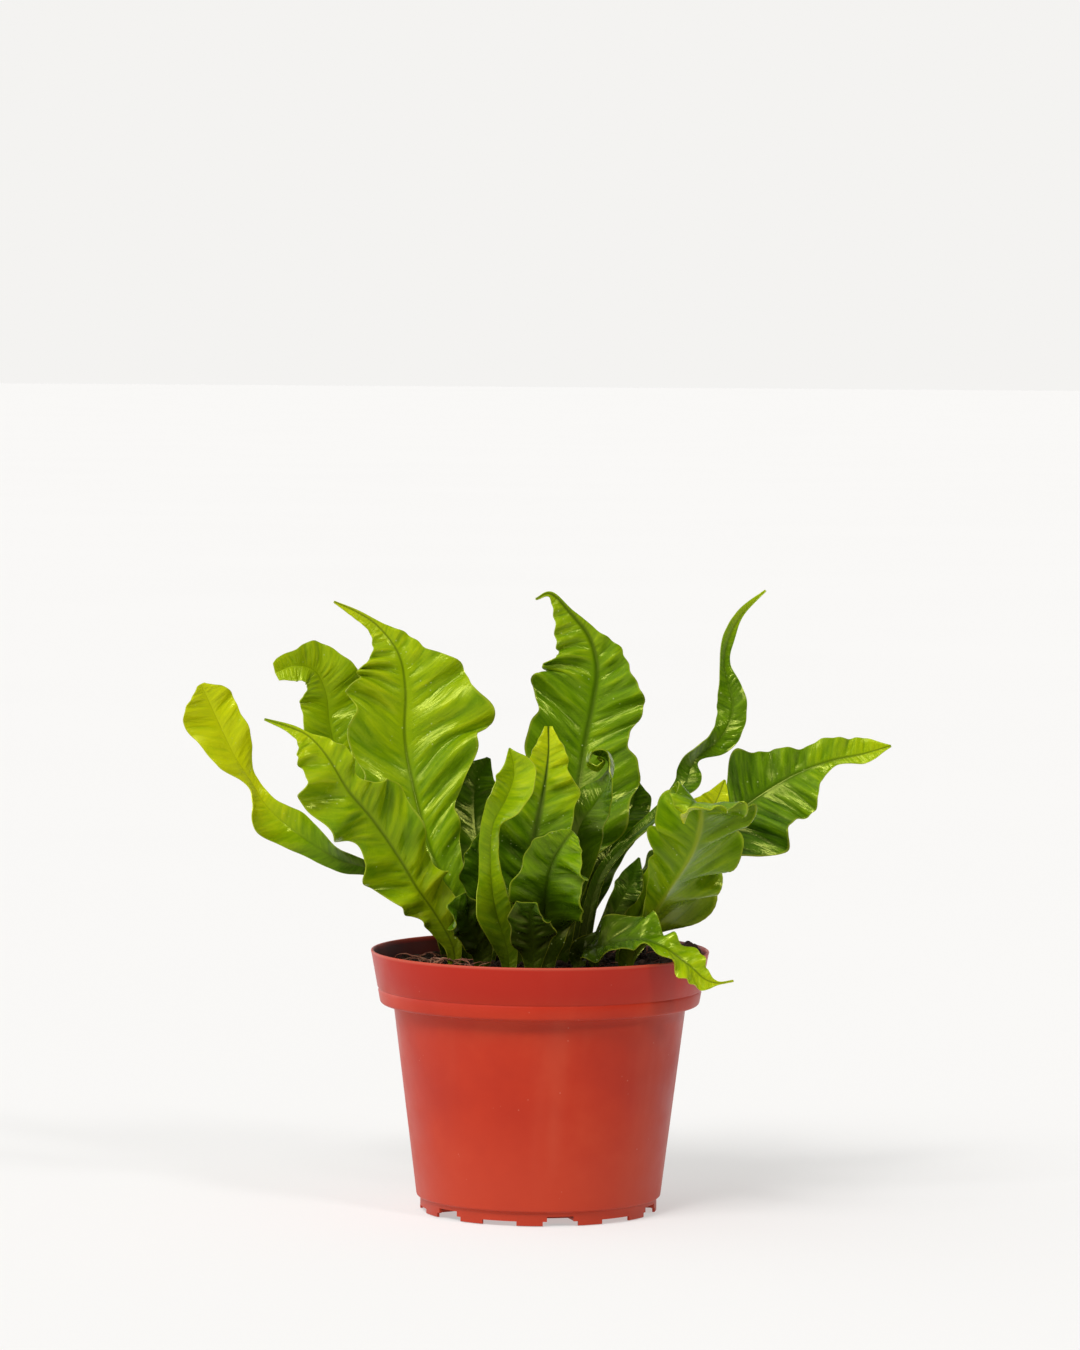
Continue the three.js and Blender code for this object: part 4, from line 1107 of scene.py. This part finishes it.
def add_camera():
    """The photograph's view, from ELEVATION above the rim, with the rim's centre at RIM_PIXEL."""
    away = Vector((0, -math.cos(ELEVATION), math.sin(ELEVATION))) * CAMERA_DISTANCE
    data = bpy.data.cameras.new("camera")
    data.lens, data.sensor_width = LENS, SENSOR
    camera = bpy.data.objects.new("camera", data)
    camera.location = Vector((0, 0, POT_HEIGHT)) + away
    focal = LENS / SENSOR * PICTURE[1]
    right = math.atan((RIM_PIXEL[0] - PICTURE[0] / 2) / focal)
    down = math.atan((RIM_PIXEL[1] - PICTURE[1] / 2) / focal)
    aim = Matrix.Rotation(right, 4, "Z") @ Matrix.Rotation(math.pi / 2 - ELEVATION + down, 4, "X")
    camera.rotation_euler = (aim @ Matrix.Rotation(ROLL, 4, "Z")).to_euler()
    bpy.context.scene.collection.objects.link(camera)
    bpy.context.scene.camera = camera


def add_sun(name, strength, spread, side, up):
    """A soft sun in front, side to the left and up above the horizon."""
    data = bpy.data.lights.new(name, "SUN")
    data.energy, data.angle = strength, spread
    lamp = bpy.data.objects.new(name, data)
    towards = Vector((-math.sin(side) * math.cos(up), -math.cos(side) * math.cos(up), math.sin(up)))
    lamp.rotation_euler = towards.to_track_quat("Z", "Y").to_euler()
    bpy.context.scene.collection.objects.link(lamp)


def add_stage():
    """A pale floor, lit from below as well, that runs to the horizon."""
    angles = [TAU * k / FLOOR_SIDES for k in range(FLOOR_SIDES)]
    corners = [(0, 0, FLOOR_LEVEL)]
    corners += [(FLOOR_REACH * math.cos(a), FLOOR_REACH * math.sin(a), FLOOR_LEVEL) for a in angles]
    faces = [(0, 1 + k, 1 + (k + 1) % FLOOR_SIDES) for k in range(FLOOR_SIDES)]
    paint = material_paint("pale_floor")
    mottle = tuple(FLOOR_MOTTLE * c for c in FLOOR_COLOUR)
    colour = paint.ramp(paint.noise(*FLOOR_PATCHES), list(zip(NOISE_RANGE, (mottle, FLOOR_COLOUR))))
    glow = (*FLOOR_GLOW, 1)
    material = paint.finish(
        colour, FLOOR_ROUGHNESS, Specular_IOR_Level=0.0, Emission_Color=glow, Emission_Strength=1.0)
    floor = add_mesh("floor", corners, faces, material)


def light_scene():
    """A studio brighter at the left and round the horizon than above, with plain colour management."""
    world = bpy.data.worlds.new("studio")
    paint = Paint(world)
    x, y, z = paint.axes(paint.place("Generated"))
    colour = paint.mix(paint.ease(z, *HORIZON_BAND), HORIZON_COLOUR, OVERHEAD_COLOUR)
    level = 1.0
    for axis, way, light in ((x, -1, LEFT_LIGHT), (x, 1, RIGHT_LIGHT), (y, -1, FRONT_LIGHT)):
        near, far = (way * edge for edge in SIDE_BAND)
        level = paint.math("ADD", level, paint.ease(axis, near, far, 0.0, light - 1))
    feed(world.node_tree.nodes["Background"], {"Color": colour, "Strength": level})
    bpy.context.scene.world = world
    bpy.context.scene.view_settings.view_transform = "Standard"
    bpy.context.scene.view_settings.look = "None"
    add_sun("key", *KEY_LIGHT)
    add_sun("left_glint", *LEFT_GLINT)
    add_sun("right_glint", *RIGHT_GLINT)


add_camera()
add_stage()
light_scene()

leaf = leaf_material()
for k, row in enumerate(FRONDS):
    frond = Frond(row, k + 1)
    piece = add_frond(frond, leaf)
    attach(piece, "root")
    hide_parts(frond.name)

profile = pot_profile()
corners, faces = lathe(profile, POT_SIDES)
pot = add_mesh("pot_moulding", corners, faces, pot_material(), POT_SHARP)
cut_bottom(pot)
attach(pot, "root")
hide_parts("pot")

soil = add_soil(soil_material("damp_peat", *PEAT_TONES))
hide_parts("soil")
crumbs = add_crumbs(soil_material("peat_crumbs", *CRUMB_TONES))
roots = add_roots(root_material())
for piece in (soil, crumbs, roots):
    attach(piece, "root")
